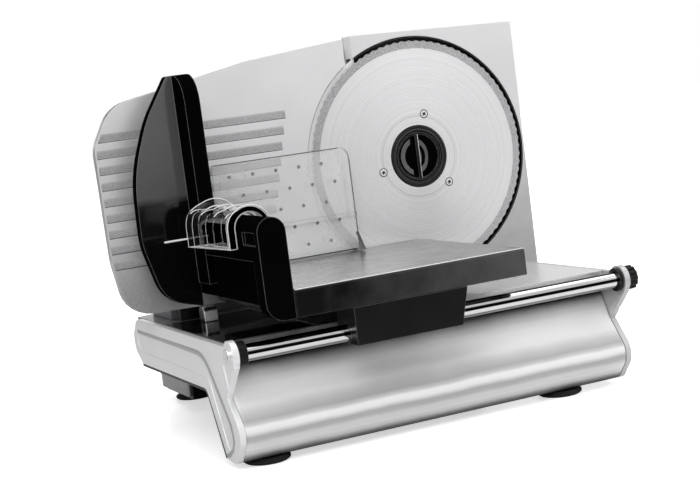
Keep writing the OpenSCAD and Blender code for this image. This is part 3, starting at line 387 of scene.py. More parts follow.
# Painted shade and highlights of the front panel, as grey by height in metres, and the painted reflection of
# the rail, as grey by how far its surface turns up.
PANEL_HEIGHT = 0.08
PANEL_PAINTED_LIGHT = [
    (0.005, 0.07), (0.008, 0.23), (0.0115, 0.8), (0.015, 0.98), (0.019, 0.86), (0.022, 0.53), (0.0245, 0.48),
    (0.026, 0.69), (0.028, 0.92), (0.031, 0.96), (0.033, 0.63), (0.0355, 0.48), (0.04, 0.64), (0.045, 0.92),
    (0.05, 1.0), (0.056, 1.0), (0.06, 0.97), (0.064, 0.73), (0.067, 0.42), (0.0705, 0.07),
]
RAIL_PAINTED_REFLECTION = [
    (-0.62, 0.25), (-0.55, 0.88), (-0.16, 0.92), (-0.09, 0.005), (0.25, 0.005), (0.32, 0.98), (0.8, 0.98),
    (0.9, 0.02),
]


def panel_finish():
    """Satin silver of the curved front panel, with shade painted in under the rail and at the heel and a
    highlight painted at the crease.
    """
    material, net, shader = new_material("satin panel silver")
    edges = net.group(EDGES, {"Mask Gain": 4.0})
    cloud = net.group(CLOUDY, {"Scale": 30.0, "Low": -0.0006, "High": 0.0006})["Value"]
    # Painted shade and highlight by height.
    tone = ramp(net, net.math("ADD", net.along("Z"), cloud), 0.0, PANEL_HEIGHT, PANEL_PAINTED_LIGHT)
    net.tree.links.new(tone, shader.inputs["Base Color"])
    gloss = net.group(CLOUDY, {"Scale": 50.0, "Low": 0.34, "High": 0.4})["Value"]
    net.tree.links.new(gloss, shader.inputs["Roughness"])
    normal = net.group(GRAIN, {"Scale": 1400.0, "Depth": 0.000006, "Normal": edges["Normal"]})["Normal"]
    net.tree.links.new(normal, shader.inputs["Normal"])
    set_shader(shader, metallic=0.2)
    return material


def rail_finish():
    """Polished chrome bar with its reflection painted into its colour: the dark centre line and dark flanks
    that a bar shows in a white room.
    """
    material, net, shader = new_material("polished rail chrome")
    # Painted reflection: grey by how far the surface turns up.
    tone = ramp(net, net.along("Z", "Normal"), -1.0, 1.0, RAIL_PAINTED_REFLECTION)
    net.tree.links.new(tone, shader.inputs["Base Color"])
    wear = net.group(DRAWN, {"Stretch": (8.0, 500.0, 500.0), "Low": 0.03, "High": 0.07, "Depth": 0.0000003})
    net.tree.links.new(wear["Value"], shader.inputs["Roughness"])
    net.tree.links.new(wear["Normal"], shader.inputs["Normal"])
    set_shader(shader, metallic=1.0)
    return material


FINISHES = {
    "silver_paint": finish("satin silver paint", (0.74, 0.74, 0.75), (0.3, 0.36), metallic=0.7,
                           spread=0.03, grain=1400.0, depth=0.000006),
    # Painted shade: the housing silver darkens towards the bottom.
    "housing_steel": finish("satin housing silver", (0.83, 0.83, 0.84), (0.32, 0.38), metallic=0.6,
                            spread=0.03, grain=1200.0, depth=0.000004, painted_light=("Z", 0.21, 0.1, 0.46)),
    "blade_steel": blade_finish(),
    # Painted shade: the tray steel darkens towards +x.
    "plate_steel": drawn_metal("brushed tray steel", (0.72, 0.72, 0.73), (0.24, 0.3), (30.0, 900.0, 900.0),
                               depth=0.000005, spread=0.04, painted_light=("X", -0.1, 0.06, 0.16)),
    "gauge_metal": gauge_finish(),
    "rail_chrome": rail_finish(),
    "bolt_steel": finish("turned bolt steel", (0.8, 0.8, 0.81), (0.2, 0.3), metallic=1.0),
    "black_gloss": finish("gloss black plastic", (0.003, 0.003, 0.003), (0.06, 0.1), spread=0.2,
                          grain=300.0, depth=0.000003, edge=0.35, specular=0.7),
    "black_satin": finish("satin black plastic", (0.004, 0.004, 0.004), (0.28, 0.36), spread=0.2,
                          grain=1800.0, depth=0.00001, edge=0.25, specular=0.2),
    "deck_black": finish("mirror black panel", (0.004, 0.004, 0.004), (0.04, 0.08), spread=0.2,
                         grain=300.0, depth=0.000002, edge=0.1),
    "grey_plastic": finish("satin grey plastic", (0.2, 0.2, 0.21), (0.35, 0.5), grain=1800.0, depth=0.00002),
    "nylon": finish("natural nylon", (0.85, 0.84, 0.78), (0.35, 0.5)),
    "clear_plastic": clear_finish(),
    "foot_rubber": finish("matt black rubber", (0.008, 0.008, 0.008), (0.6, 0.8), grain=2200.0, depth=0.00004,
                          edge=0.08, specular=0.25),
    "bronze": finish("sintered bronze", (0.6, 0.42, 0.2), (0.35, 0.5), metallic=1.0),
    "red_button": finish("gloss red plastic", (0.55, 0.03, 0.03), (0.12, 0.2)),
    "motor_iron": finish("lacquered iron", (0.3, 0.3, 0.31), (0.35, 0.5), metallic=0.8),
}
SHEET = sheet_finish("clear moulded sheet", 1.0, (0.2, 0.28))
SHADED_SHEET = sheet_finish("shaded clear sheet", 0.02, (0.2, 0.3))
PANEL_SILVER = panel_finish()
DEEP_BLACK = finish("deep black plastic", (0.002, 0.002, 0.002), (0.35, 0.45), spread=0.2, grain=1800.0,
                    depth=0.00001, edge=0.35, specular=0.0)
# Painted reflection: the guard's leaf turns grey over its top.
LEAF_BLACK = finish("gloss black guard", (0.003, 0.003, 0.003), (0.08, 0.14), spread=0.2, grain=300.0,
                    depth=0.000003, edge=0.4, specular=0.5, painted_light=("Z", 0.184, 0.19, 0.09))
# Painted light: the frame's black turns dark grey towards +x.
FRAME_BLACK = finish("satin black frame", (0.004, 0.004, 0.004), (0.28, 0.36), spread=0.2, grain=1800.0,
                     depth=0.00001, edge=0.25, specular=0.1, painted_light=("X", -0.08, 0.11, 0.1))
# Painted light: a lighter copy of the silver paint for the left end cap, standing for the light that falls on
# it.
CAP_SILVER = finish("satin cap silver", (0.93, 0.93, 0.94), (0.32, 0.38), metallic=0.5, spread=0.02,
                    grain=1400.0, depth=0.000006)
# Painted reflection: the deck is dark at its left end, where it mirrors the black guard and carriage, and
# lighter silver to the right.
DECK_SILVER = finish("satin deck silver", (0.28, 0.28, 0.29), (0.26, 0.34), metallic=0.7, spread=0.04,
                     grain=1400.0, depth=0.000006, edge=0.1, painted_light=("X", -0.09, -0.05, 0.72))
# Painted light: near white for the faces in the blade's gap, standing for the light seen through it.
GAP_PAINTED_LIGHT = finish("painted gap light", (0.97, 0.97, 0.97), (0.3, 0.4), spread=0.02)
BAND_SILVER = finish("shaded band silver", (0.5, 0.5, 0.51), (0.34, 0.42), metallic=0.6, spread=0.03,
                     grain=1400.0, depth=0.000006, edge=0.1)
END_SILVER = finish("shaded end silver", (0.62, 0.62, 0.63), (0.32, 0.38), metallic=0.6, spread=0.03,
                    grain=1400.0, depth=0.000006, edge=0.05)
SCREW_FACE = finish("bright screw face", (0.95, 0.95, 0.95), (0.25, 0.35), metallic=0.3, spread=0.03,
                    edge=0.0)
# Painted highlight: a dark grey for the lit lips of the hub's grip.
HUB_STEP_HIGHLIGHT = finish("hub step highlight", (0.1, 0.1, 0.1), (0.3, 0.45), grain=700.0, depth=0.00003, edge=0.2)
# Painted highlight: near white, for bright lines along edges, lips and crests.
HIGHLIGHT_EDGE = finish("painted edge highlight", (0.9, 0.9, 0.9), (0.1, 0.2), spread=0.03, grain=300.0,
                       depth=0.000004, edge=0.0)
# Painted shade: near black, for dark lines along the clear plate's edges.
SHADE_EDGE = finish("shaded clear edge", (0.07, 0.07, 0.07), (0.15, 0.3), grain=300.0, depth=0.000004,
                     edge=0.2)
SPIKE_GREY = finish("clear spike, shaded", (0.16, 0.16, 0.16), (0.1, 0.2), spread=0.2, grain=600.0, edge=0.9)


def put_finish(piece, material):
    """Gives one finish to every material slot of a piece."""
    if not piece.material_slots:
        piece.data.materials.append(material)
    for slot in piece.material_slots:
        slot.material = material


# ---- pieces ----

MM = 0.001
DOUBLE = 0.002 * MM
SLOT_OF = {part["node"]: part["material_slot"] for part in frame["record"]["subparts"]}
BODY_OF = {
    node: body for body, members in frame["record"]["behaviour"]["bodies"].items() for node in members
}
FINISH_OF = {node: FINISHES[slot_name] for node, slot_name in SLOT_OF.items()}
FINISH_OF.update({
    "front_panel": PANEL_SILVER, "fence": DEEP_BLACK, "hand_guard": DEEP_BLACK, "pusher_plate": SHEET,
    "left_end_cap": CAP_SILVER, "right_end_cap": END_SILVER, "deck_cover": DECK_SILVER,
    "tray_frame": FRAME_BLACK, "slide_bushes": FINISHES["black_satin"],
})
for node, node_finish in FINISH_OF.items():
    put_finish(nodes[node], node_finish)


def smooth(data, angle=32.0):
    """Smooth shading, with creases kept past the angle in degrees."""
    data.shade_smooth()
    data.set_sharp_from_angle(angle=math.radians(angle))


def piece_of(name, shape, material, body, stands_for=(), angle=32.0):
    """Turns a bmesh into a finished piece that rides on a body."""
    data = bpy.data.meshes.new(name)
    shape.to_mesh(data)
    shape.free()
    smooth(data, angle)
    data.materials.append(material)
    piece = bpy.data.objects.new(name, data)
    scene.collection.objects.link(piece)
    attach(piece, body)
    if stands_for:
        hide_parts(*stands_for)
    return piece


def add_block(shape, low, high):
    """Adds a block between two opposite corners."""
    made = bmesh.ops.create_cube(shape, size=1.0)["verts"]
    bmesh.ops.scale(shape, vec=Vector(high) - Vector(low), verts=made)
    bmesh.ops.translate(shape, vec=(Vector(low) + Vector(high)) / 2, verts=made)


def rounded_block(low, high, rounding):
    """A new shape of one block with rounded edges."""
    shape = bmesh.new()
    add_block(shape, low, high)
    bmesh.ops.bevel(
        shape, geom=shape.edges[:], offset=rounding, affect="EDGES", segments=2, profile=0.5, material=-1
    )
    return shape


def turned(shape, profile, centre, steps=96):
    """Adds a shape turned about the Y axis through centre; profile holds (radius, y) points."""
    line = [shape.verts.new((centre.x + radius, y, centre.z)) for radius, y in profile]
    edges = [shape.edges.new(pair) for pair in zip(line, line[1:])]
    bmesh.ops.spin(
        shape, geom=line + edges, cent=(centre.x, 0.0, centre.z), axis=(0.0, 1.0, 0.0),
        angle=2 * math.pi, steps=steps, use_merge=True,
    )


def closed_up(shape):
    """Joins double points and turns every face outwards."""
    bmesh.ops.remove_doubles(shape, verts=shape.verts, dist=DOUBLE)
    bmesh.ops.recalc_face_normals(shape, faces=shape.faces)
    return shape


def merged_copy(node):
    """A copy of a CAD node's mesh with its loose triangles joined and its flat faces made whole."""
    shape = bmesh.new()
    shape.from_mesh(nodes[node].data)
    bmesh.ops.remove_doubles(shape, verts=shape.verts, dist=DOUBLE)
    bmesh.ops.dissolve_limit(
        shape, angle_limit=math.radians(0.4), verts=shape.verts, edges=shape.edges
    )
    return shape


def second_finish(piece, material, wanted):
    """Gives a further finish to the faces that wanted(centre, normal) picks."""
    piece.data.materials.append(material)
    index = len(piece.data.materials) - 1
    for face in piece.data.polygons:
        if wanted(face.center, face.normal):
            face.material_index = index


def round_edges(piece, width, segments=3, angle=38.0, edge_finish=None):
    """Live rounding of a piece's sharp edges, in a finish of its own if one is given."""
    soft = piece.modifiers.new("rounded edges", "BEVEL")
    if edge_finish:
        piece.data.materials.append(edge_finish)
        soft.material = len(piece.data.materials) - 1
    soft.width = width
    soft.segments = segments
    soft.limit_method = "ANGLE"
    soft.angle_limit = math.radians(angle)
    soft.use_clamp_overlap = True
    flats = piece.modifiers.new("flat faces", "WEIGHTED_NORMAL")
    flats.keep_sharp = True


def softened(node, width, segments=3, angle=38.0):
    """The CAD node with rounded edges, in its own finish."""
    piece = piece_of(
        "soft_" + node, merged_copy(node), FINISH_OF[node], BODY_OF[node], [node],
        angle - 6.0,
    )
    round_edges(piece, width, segments, angle)
    return piece


# Width in millimetres of each node's rounded edges.
SOFT_EDGES = {
    "front_panel": 0.8, "left_end_cap": 0.9, "right_end_cap": 0.9, "deck_cover": 0.5,
    "blade_housing": 0.9, "motor_housing": 0.7, "tray_frame": 0.9,
    "tray_plate": 0.3, "fence": 0.8, "hand_guard": 1.0, "slide_foot": 0.9, "stop_block": 0.6,
    "feet": 0.9, "guide_housing": 1.0, "thickness_dial": 0.4, "power_button": 0.3, "rail_knob": 0.4,
    "rail_bumpers": 0.5, "rail_screw": 0.3, "plate_carrier": 0.6, "tray_skid": 0.5, "cord_gland": 0.4,
    "bottom_pan": 0.4, "guide_rail": 0.4,
}
soft_pieces = {node: softened(node, width * MM) for node, width in SOFT_EDGES.items()}
softened("thickness_plate", 0.7 * MM, segments=2, angle=12.0)


LEAF_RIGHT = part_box("hand_guard")[1].x - 12.2 * MM


def in_blade_gap(place, normal):
    """The faces painted near white as light in the gap: the housing's left walls and the ring face behind the
    open side of the blade.
    """
    from_axis = math.hypot(place.x - BLADE_AXIS.x, place.z - BLADE_AXIS.z)
    on_ring = disc_high.y < place.y < disc_high.y + 4.5 * MM and from_axis < BLADE_RADIUS + 3.0 * MM
    return normal.x < -0.9 or (on_ring and place.x < BLADE_AXIS.x)


def on_leaf(place, normal):
    """The front of the hand guard's leaf, left of its wall."""
    return place.x < LEAF_RIGHT and normal.y < -0.5


# Painted light: the faces in the blade's gap turn near white.
second_finish(soft_pieces["blade_housing"], GAP_PAINTED_LIGHT, in_blade_gap)
# Painted reflection: the leaf's front takes the guard finish that turns grey over its top.
second_finish(soft_pieces["hand_guard"], LEAF_BLACK, on_leaf)


def tray_edge():
    """A painted highlight: a bright strip for the steel tray plate's lip over the frame's front wall."""
    low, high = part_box("tray_plate")
    start = (low.x, low.y - 0.2 * MM, high.z - 0.7 * MM)
    lip = rounded_block(start, (high.x, low.y + 0.7 * MM, high.z + 0.05 * MM), 0.2 * MM)
    piece_of("tray_lip_highlight", lip, HIGHLIGHT_EDGE, BODY_OF["tray_plate"])


tray_edge()


# The band's middle line on the cap, as (y, z) in millimetres.
CAP_BAND = [
    (66.0, 79.0), (7.5, 78.6), (-60.0, 78.2), (-88.0, 77.8), (-96.0, 76.6), (-103.0, 74.0), (-109.0, 69.6),
    (-117.0, 61.4), (-127.0, 50.0), (-136.0, 40.0), (-142.0, 33.0), (-145.4, 26.0), (-145.6, 20.0),
    (-142.0, 14.2), (-134.0, 9.6), (-126.0, 7.4),
]


def cap_band():
    """The shaded step that runs round the sunk field of the left end cap."""
    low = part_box("left_end_cap")[0]
    line = [Vector((y * MM, z * MM)) for y, z in CAP_BAND]
    band = bmesh.new()
    last = None
    for i, point in enumerate(line):
        along = (line[min(i + 1, len(line) - 1)] - line[max(i - 1, 0)]).normalized()
        side = Vector((-along.y, along.x)) * 1.5 * MM
        pair = [band.verts.new((low.x - 0.05 * MM, *(point + way * side))) for way in (-1, 1)]
        if last:
            band.faces.new((last[0], last[1], pair[1], pair[0]))
        last = pair
    bmesh.ops.recalc_face_normals(band, faces=band.faces)
    made = bmesh.ops.extrude_face_region(band, geom=band.faces[:])["geom"]
    moved = [item for item in made if isinstance(item, bmesh.types.BMVert)]
    bmesh.ops.translate(band, vec=(0.3 * MM, 0.0, 0.0), verts=moved)
    piece_of("cap_band", closed_up(band), BAND_SILVER, BODY_OF["left_end_cap"])


cap_band()


# ---- hub and blade ----


def hub_pieces():
    """The black hub ring with its stepped lip, and the turning grip: a cup with a bar, with highlights
    painted on the bar's edge and as grey on its steps.
    """
    low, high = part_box("hub_ring")
    front, back = low.y, high.y
    outer = (high.x - low.x) / 2
    ring = bmesh.new()
    inner = outer - 5.0 * MM
    turned(ring, [
        (outer, back), (outer, front + 0.3 * MM), (outer - 0.4 * MM, front - 0.1 * MM),
        (outer - 1.6 * MM, front - 0.5 * MM), (outer - 3.2 * MM, front - 0.1 * MM),
        (outer - 3.6 * MM, front - 0.6 * MM), (outer - 4.4 * MM, front - 0.6 * MM),
        (inner, front + 0.2 * MM), (inner, back), (outer, back),
    ], BLADE_AXIS)
    satin = FINISHES["black_satin"]
    piece_of("hub_ring_moulding", closed_up(ring), satin, "blade", ["hub_ring"])
    low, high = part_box("hub_grip")
    rim = (high.x - low.x) / 2
    well = rim - 1.6 * MM
    grip = bmesh.new()
    turned(grip, [
        (rim, high.y), (rim, front), (rim - 0.5 * MM, front - 0.4 * MM), (well, front),
        (well - 0.4 * MM, high.y - 0.3 * MM), (0.0, high.y - 0.3 * MM),
    ], BLADE_AXIS)
    piece_of("hub_grip_cup", closed_up(grip), DEEP_BLACK, "hub_lock", ["hub_grip"])
    half = well - 0.3 * MM
    middle = BLADE_AXIS
    # Painted highlight: the bar's light edge.
    for name, left, right, material in (
        ("hub_bar", -1.9, 0.5, satin), ("hub_bar_highlight", 0.5, 0.95, HIGHLIGHT_EDGE),
    ):
        start = (middle.x + left * MM, front - 0.1 * MM, middle.z - half)
        bar = rounded_block(start, (middle.x + right * MM, high.y - 0.2 * MM, middle.z + half), 0.15 * MM)
        piece_of(name, bar, material, "hub_lock")
    floor = high.y - 0.2 * MM
    # Painted highlight: the grey steps of the grip.
    for name, side, outer, inner, squeeze, start in (
        ("hub_step_left", -1, 16.2, 12.2, 1.0, 6.4), ("hub_loop_right", 1, 13.6, 9.4, 0.64, 1.0),
        ("hub_crescent_right", 1, 7.3, 4.6, 0.36, 1.0),
    ):
        outer, inner = outer * MM, inner * MM
        lip = bmesh.new()
        turned(lip, [
            (outer, floor), (outer - 0.3 * MM, front + 0.7 * MM), (inner + 0.3 * MM, front + 0.9 * MM),
            (inner, floor), (outer, floor),
        ], middle, 64)
        bmesh.ops.scale(lip, vec=(squeeze, 1.0, 1.0), space=Matrix.Translation(-middle), verts=lip.verts)
        closed_up(lip)
        bmesh.ops.bisect_plane(
            lip, geom=lip.verts[:] + lip.edges[:] + lip.faces[:],
            plane_co=(middle.x + side * start * MM, 0.0, 0.0), plane_no=(-side, 0.0, 0.0), clear_outer=True,
        )
        bmesh.ops.holes_fill(lip, edges=lip.edges, sides=12)
        piece_of(name, closed_up(lip), HUB_STEP_HIGHLIGHT, "hub_lock")


hub_pieces()


def island_centres(node):
    """The middle, in x and z, of each separate solid of a node."""
    heads = merged_copy(node)
    seen, centres = set(), []
    for start in heads.verts:
        if start in seen:
            continue
        island, todo = [], [start]
        while todo:
            vert = todo.pop()
            if vert not in seen:
                seen.add(vert)
                island.append(vert)
                todo.extend(edge.other_vert(vert) for edge in vert.link_edges)
        xs = [vert.co.x for vert in island]
        zs = [vert.co.z for vert in island]
        centres.append(Vector(((min(xs) + max(xs)) / 2, 0.0, (min(zs) + max(zs)) / 2)))
    heads.free()
    return centres


CROSS_TURN = 0.4


def screw_pieces():
    """Domed cross-head blade screws, with shade painted as black into their countersinks and cross slots."""
    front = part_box("blade_screws")[0].y
    satin = FINISHES["black_satin"]
    dome, sink, cross = bmesh.new(), bmesh.new(), bmesh.new()
    for centre in island_centres("blade_screws"):
        turned(dome, [
            (0.0, front - 0.3 * MM), (2.6 * MM, front - 0.3 * MM), (2.9 * MM, front - 0.05 * MM),
            (2.9 * MM, front + 1.0 * MM), (0.0, front + 1.0 * MM),
        ], centre, 40)
        turned(sink, [
            (2.95 * MM, front - 0.1 * MM), (3.6 * MM, front - 0.12 * MM), (3.6 * MM, front + 1.2 * MM),
            (2.95 * MM, front + 1.2 * MM), (2.95 * MM, front - 0.1 * MM),
        ], centre, 40)
        for slot_turn in (CROSS_TURN, CROSS_TURN + math.pi / 2):
            made = bmesh.ops.create_cube(cross, size=1.0)["verts"]
            bmesh.ops.scale(cross, vec=(3.3 * MM, 0.4 * MM, 1.1 * MM), verts=made)
            bmesh.ops.rotate(cross, matrix=Matrix.Rotation(slot_turn, 3, "Y"), verts=made)
            bmesh.ops.translate(cross, vec=(centre.x, front - 0.3 * MM, centre.z), verts=made)
    piece_of("blade_screw_heads", closed_up(dome), SCREW_FACE, "blade", ["blade_screws"])
    # Painted shade: the black countersinks and cross slots.
    piece_of("blade_screw_sinks", closed_up(sink), satin, "blade")
    piece_of("blade_screw_crosses", cross, satin, "blade")


screw_pieces()


# ---- clear pusher ----


def arch(radius_at, foot, steps=36):
    """Points of an upright arch round the origin, from its left foot over the top to its right foot."""
    over = []
    for i in range(steps + 1):
        turn = math.pi * i / steps
        over.append(Vector((-math.cos(turn), math.sin(turn))) * radius_at(turn))
    return [Vector((over[0].x, foot)), *over, Vector((over[-1].x, foot))]


def arch_shell(stations, middle, foot, inner):
    """A shell through (y, radius at a turn) stations round an even inner arch, open below."""
    shape = bmesh.new()
    loops = []
    for y, radius_at in stations:
        outline = arch(radius_at, foot) + arch(lambda turn: inner, foot)[::-1]
        loops.append([shape.verts.new((middle.x + p.x, y, middle.z + p.y)) for p in outline])
    for a, b in zip(loops, loops[1:]):
        for i in range(len(a)):
            k = (i + 1) % len(a)
            shape.faces.new((a[i], a[k], b[k], b[i]))
    half = len(loops[0]) // 2
    for loop in (loops[0], loops[-1]):
        for i in range(half - 1):
            shape.faces.new((loop[i], loop[i + 1], loop[-2 - i], loop[-1 - i]))
    bmesh.ops.recalc_face_normals(shape, faces=shape.faces)
    return shape


def eased(value, low, high):
    """0 below low, 1 above high, and a smooth rise between."""
    share = min(1.0, max(0.0, (value - low) / (high - low)))
    return share * share * (3 - 2 * share)


class Saddle:
    """Sizes of the clear grip that sits astride the fence bar."""

    low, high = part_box("pusher_grip")
    outer, inner = 13.6 * MM, 11.1 * MM  # radii of the arch
    middle = Vector((low.x + 27.6 * MM + outer, 0.0, high.z - outer - 6.0 * MM))
    foot = low.z + 6.8 * MM - middle.z  # from the arch's centre
    front, back = low.y, low.y + 76.0 * MM
    rim = 2.5 * MM  # thickness of the two end rims
    wide_front, wide_back = 3.7 * MM, 10.0 * MM  # how far the left wall stands out past the arch
    tall_front, tall_back = 3.0 * MM, 6.0 * MM  # how far the rims stand up past it
    ripple, ripples = 1.7 * MM, 3
    crest_half, crest_proud = 0.9 * MM, 0.3 * MM


def shell_y(share):
    """The y of a place on the rippled shell, from its front (0) to its back (1)."""
    length = Saddle.back - Saddle.front - 2 * Saddle.rim
    return Saddle.front + Saddle.rim + length * share


def shell_radius(share):
    """The shell's radius at each turn: widening to the back on the left, rippled over the top."""
    side = Saddle.outer + Saddle.wide_front + (Saddle.wide_back - Saddle.wide_front) * share
    top = Saddle.outer + Saddle.ripple * math.cos(2 * Saddle.ripples * math.pi * share)

    def radius_at(turn):
        return side + (top - side) * eased(turn, 0.45, 1.1) if turn < math.pi / 2 else top
    return radius_at


def grip_arches():
    """The rippled shell and the flat rims at its two ends."""
    count = 54
    stations = [(shell_y(i / count), shell_radius(i / count)) for i in range(count + 1)]
    arches = [("grip_arch", stations, ["pusher_grip"])]
    for name, y, wide, tall in (
        ("grip_rim_front", Saddle.front, Saddle.wide_front, Saddle.tall_front),
        ("grip_rim_back", Saddle.back - Saddle.rim, Saddle.wide_back, Saddle.tall_back),
    ):
        def rim_radius(turn, wide=wide, tall=tall):
            return Saddle.outer + wide + (tall - wide) * eased(turn, 0.3, 1.2)
        arches.append((name, [(y, rim_radius), (y + Saddle.rim, rim_radius)], ()))
    for name, stations, stands_for in arches:
        shell = arch_shell(stations, Saddle.middle, Saddle.foot, Saddle.inner)
        piece = piece_of(name, shell, FINISHES["clear_plastic"], "pusher", stands_for)
        # Painted highlight along the rounded rims.
        round_edges(piece, 0.5 * MM, 2, 60.0, HIGHLIGHT_EDGE)


def grip_crest_highlights():
    """Highlights painted along the crests of the ripples as bright ridges."""
    crests = bmesh.new()
    half, proud = Saddle.crest_half, Saddle.crest_proud
    section = ((-half, -proud), (-0.5 * MM, proud), (0.5 * MM, proud), (half, -proud))
    count = 28
    for share in (0.06, 1 / 3, 2 / 3, 0.94):
        radius_at = shell_radius(share)
        last = None
        for i in range(count + 1):
            turn = 0.5 + 1.9 * i / count
            across = Vector((-math.cos(turn), 0.0, math.sin(turn)))
            place = Saddle.middle + Vector((0.0, shell_y(share), 0.0)) + across * radius_at(turn)
            loop = [
                crests.verts.new(place + across * out + Vector((0.0, side, 0.0))) for side, out in section
            ]
            if last:
                for k in range(4):
                    crests.faces.new((last[k], last[(k + 1) % 4], loop[(k + 1) % 4], loop[k]))
            else:
                crests.faces.new(loop)
            last = loop
        crests.faces.new(last[::-1])
    bmesh.ops.recalc_face_normals(crests, faces=crests.faces)
    piece_of("grip_crest_highlights", crests, HIGHLIGHT_EDGE, "pusher")


def grip_ends():
    """The thin flange at the back rim's left, as a painted highlight, and the arm that joins the grip to the
    plate, in painted shade.
    """
    low, high = Saddle.low, Saddle.high
    left_wall = Saddle.middle.x - Saddle.outer - Saddle.wide_back
    start = (low.x, Saddle.back - Saddle.rim, low.z + 12.6 * MM)
    flange = rounded_block(start, (left_wall + 0.6 * MM, Saddle.back, low.z + 13.9 * MM), 0.4 * MM)
    piece_of("grip_flange", flange, HIGHLIGHT_EDGE, "pusher")
    arm = bmesh.new()
    wall = Saddle.middle.x + Saddle.inner + 1.0 * MM
    corner = wall + 2.5 * MM
    back, top = high.y - 0.1 * MM, low.z + 24.0 * MM
    add_block(arm, (wall, Saddle.front + 2.6 * MM, low.z), (corner, back, top))
    plate_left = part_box("pusher_plate")[0].x
    add_block(arm, (corner, high.y - 2.5 * MM, low.z), (plate_left + 8.0 * MM, back, top))
    piece_of("grip_arm", arm, SHADED_SHEET, "pusher")


grip_arches()
grip_crest_highlights()
grip_ends()


SPIKE_LENGTH = 3.25 * MM


def pusher_pieces():
    """The clear plate with small spikes behind it, its rim and edges in painted shade, and a dark line
    painted along its foot as shade.
    """
    low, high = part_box("pusher_plate")
    back = high.y - SPIKE_LENGTH
    shape = merged_copy("pusher_plate")
    plate = piece_of("pusher_sheet", shape, SHEET, "pusher", ["pusher_plate"])
    second_finish(plate, SPIKE_GREY, lambda place, normal: place.y > back)
    # Painted shade: the top and side faces and rounded edges of the plate.
    second_finish(
        plate, SHADE_EDGE,
        lambda place, normal: place.y < back and (abs(normal.z) > 0.6 or normal.x > 0.6),
    )
    round_edges(plate, 0.45 * MM, 1, 60.0, SHADE_EDGE)
    # Painted shade: dark lines along the plate's top and right edges.
    rim = bmesh.new()
    front, face = back - 2.66 * MM, back - 2.5 * MM
    corner = 9.0 * MM
    add_block(rim, (low.x + 0.5 * MM, front, high.z - 0.75 * MM), (high.x - corner, face, high.z - 0.1 * MM))
    add_block(rim, (high.x - 0.6 * MM, front, low.z + 1.0 * MM), (high.x - 0.1 * MM, face, high.z - corner))
    piece_of("pusher_rim_line", rim, SHADE_EDGE, "pusher")
    # Painted shade: a dark line along the plate's foot.
    start = (low.x + 3.0 * MM, back - 3.1 * MM, low.z)
    foot = rounded_block(start, (high.x - 3.0 * MM, back - 2.55 * MM, low.z + 0.9 * MM), 0.15 * MM)
    piece_of("pusher_foot_line", foot, FINISHES["black_satin"], "pusher")


pusher_pieces()


# ---- floor, light and camera ----

FLAG_BLACK = finish("matt flag cloth", (0.002, 0.002, 0.002), (0.9, 1.0), specular=0.0)
FLOOR_SIZE = 6.0
FLOOR_LIFT = 0.72
GLOSSY_LEVEL = 0.95
AMBIENT_LEVEL = 0.4
CAMERA_PLACE = (-0.4818, -1.1625, 0.2572)
CAMERA_YAW, CAMERA_PITCH, CAMERA_ROLL = (math.radians(angle) for angle in (-23.21, 84.18, -7.32))
CAMERA_LENS = 80.19
MIDDLE = (0.0, 0.0, 0.12)


def staged(name, shape, material):
    """A thing of the studio, not a piece of the slicer."""
    data = bpy.data.meshes.new(name)
    shape.to_mesh(data)
    shape.free()
    data.materials.append(material)
    thing = bpy.data.objects.new(name, data)
    scene.collection.objects.link(thing)
    return thing


def floor_finish():
    """Pale studio floor with a soft sheen; it shows as paper white where no shadow falls."""
    material, net, shader = new_material("pale studio floor")
    seen = net.add("LightPath").outputs
    direct = net.add("BsdfDiffuse", {"Color": (1.0, 1.0, 1.0, 1.0)})
    place = net.add("TexCoord").outputs["Object"]
    away = net.add("VectorMath", {0: place}, operation="LENGTH").outputs["Value"]
    lift = net.add(
        "Emission", {"Color": (1.0, 1.0, 1.0, 1.0), "Strength": net.span(away, 0.3, 0.8, FLOOR_LIFT, 1.0)}
    )
    lifted = net.add("AddShader", {0: direct.outputs[0], 1: lift.outputs[0]})
    bright = net.add("MixShader", {"Fac": seen["Is Camera Ray"], 1: shader.outputs[0], 2: lifted.outputs[0]})
    sheen = net.add("BsdfGlossy", {"Color": (0.9, 0.9, 0.9, 1.0), "Roughness": 0.12})
    edge_on = net.add("LayerWeight", {"Blend": 0.25}).outputs["Facing"]
    weight = net.span(edge_on, 0.0, 1.0, 0.03, 0.3)
    final = net.add("MixShader", {"Fac": weight, 1: bright.outputs[0], 2: sheen.outputs[0]})
    out = next(n for n in net.tree.nodes if n.type == "OUTPUT_MATERIAL")
    net.tree.links.new(final.outputs[0], out.inputs[0])
    shader.inputs["Base Color"].default_value = (0.8, 0.8, 0.8, 1.0)
    shader.inputs["Roughness"].default_value = 0.8
    return material


def make_floor():
    """One wide flat sheet at floor height."""
    shape = bmesh.new()
    bmesh.ops.create_grid(shape, x_segments=1, y_segments=1, size=FLOOR_SIZE)
    staged("floor", shape, floor_finish())


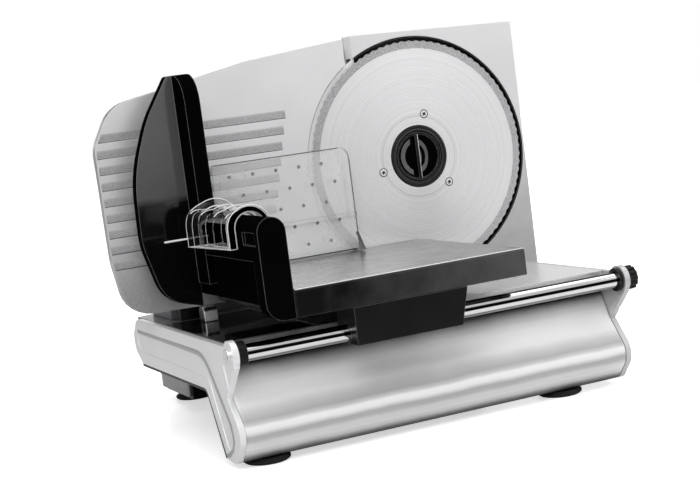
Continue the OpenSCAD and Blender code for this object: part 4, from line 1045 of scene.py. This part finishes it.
def make_world():
    """White for the camera and for reflections, a plain soft grey as light."""
    world = bpy.data.worlds.new("studio")
    scene.world = world
    world.use_nodes = True
    world.node_tree.nodes.clear()
    net = Net(world.node_tree)
    ray = net.add("LightPath").outputs
    shown = net.math("MAXIMUM", ray["Is Camera Ray"], ray["Is Transmission Ray"])
    height = net.along("Z", "Generated")
    sky = net.math("MAXIMUM", net.span(height, 0.2, 0.45, GLOSSY_LEVEL, 0.5), net.span(height, 0.66, 0.8))
    glossy = net.math("MULTIPLY", ray["Is Glossy Ray"], sky)
    strength = net.math("MAXIMUM", net.math("MAXIMUM", shown, glossy), AMBIENT_LEVEL)
    back = net.add("Background", {"Color": (1.0, 1.0, 1.0, 1.0), "Strength": strength})
    out = net.add("OutputWorld")
    net.tree.links.new(back.outputs[0], out.inputs[0])


def softbox(name, place, target, width, height, power):
    """A rectangular lamp that faces the target."""
    data = bpy.data.lights.new(name, "AREA")
    data.shape = "RECTANGLE"
    data.size, data.size_y, data.energy = width, height, power
    lamp = bpy.data.objects.new(name, data)
    scene.collection.objects.link(lamp)
    lamp.location = place
    lamp.rotation_euler = (Vector(target) - Vector(place)).to_track_quat("-Z", "Y").to_euler()


def flag(name, low, high):
    """A matt black card, seen only in reflections, between two opposite corners."""
    shape = bmesh.new()
    add_block(shape, low, high)
    card = staged(name, shape, FLAG_BLACK)
    for use in ("camera", "diffuse", "shadow", "transmission"):
        setattr(card, "visible_" + use, False)


make_floor()
make_world()
flag("front flag", (-0.6, -3.4, 0.001), (2.6, -0.55, 0.003))
flag("side flag", (-1.6, 1.2, 0.001), (-0.2, 1.21, 0.4))
softbox("key softbox", (-0.9, -1.5, 1.7), MIDDLE, 1.6, 1.2, 22.0)
softbox("top softbox", (0.3, 0.2, 1.9), MIDDLE, 1.8, 1.4, 14.0)
softbox("blade softbox", (0.95, -1.4, 0.06), (0.1, 0.0, 0.15), 0.4, 0.4, 0.22)
softbox("fill softbox", (1.7, -0.9, 0.9), MIDDLE, 1.2, 1.2, 8.0)

camera_data = bpy.data.cameras.new("camera")
camera_data.lens = CAMERA_LENS
camera = bpy.data.objects.new("camera", camera_data)
scene.collection.objects.link(camera)
camera.location = CAMERA_PLACE
turn = (
    Matrix.Rotation(CAMERA_YAW, 3, "Z")
    @ Matrix.Rotation(CAMERA_PITCH, 3, "X")
    @ Matrix.Rotation(CAMERA_ROLL, 3, "Z")
)
camera.rotation_euler = turn.to_euler()
scene.camera = camera
scene.view_settings.view_transform = "Standard"
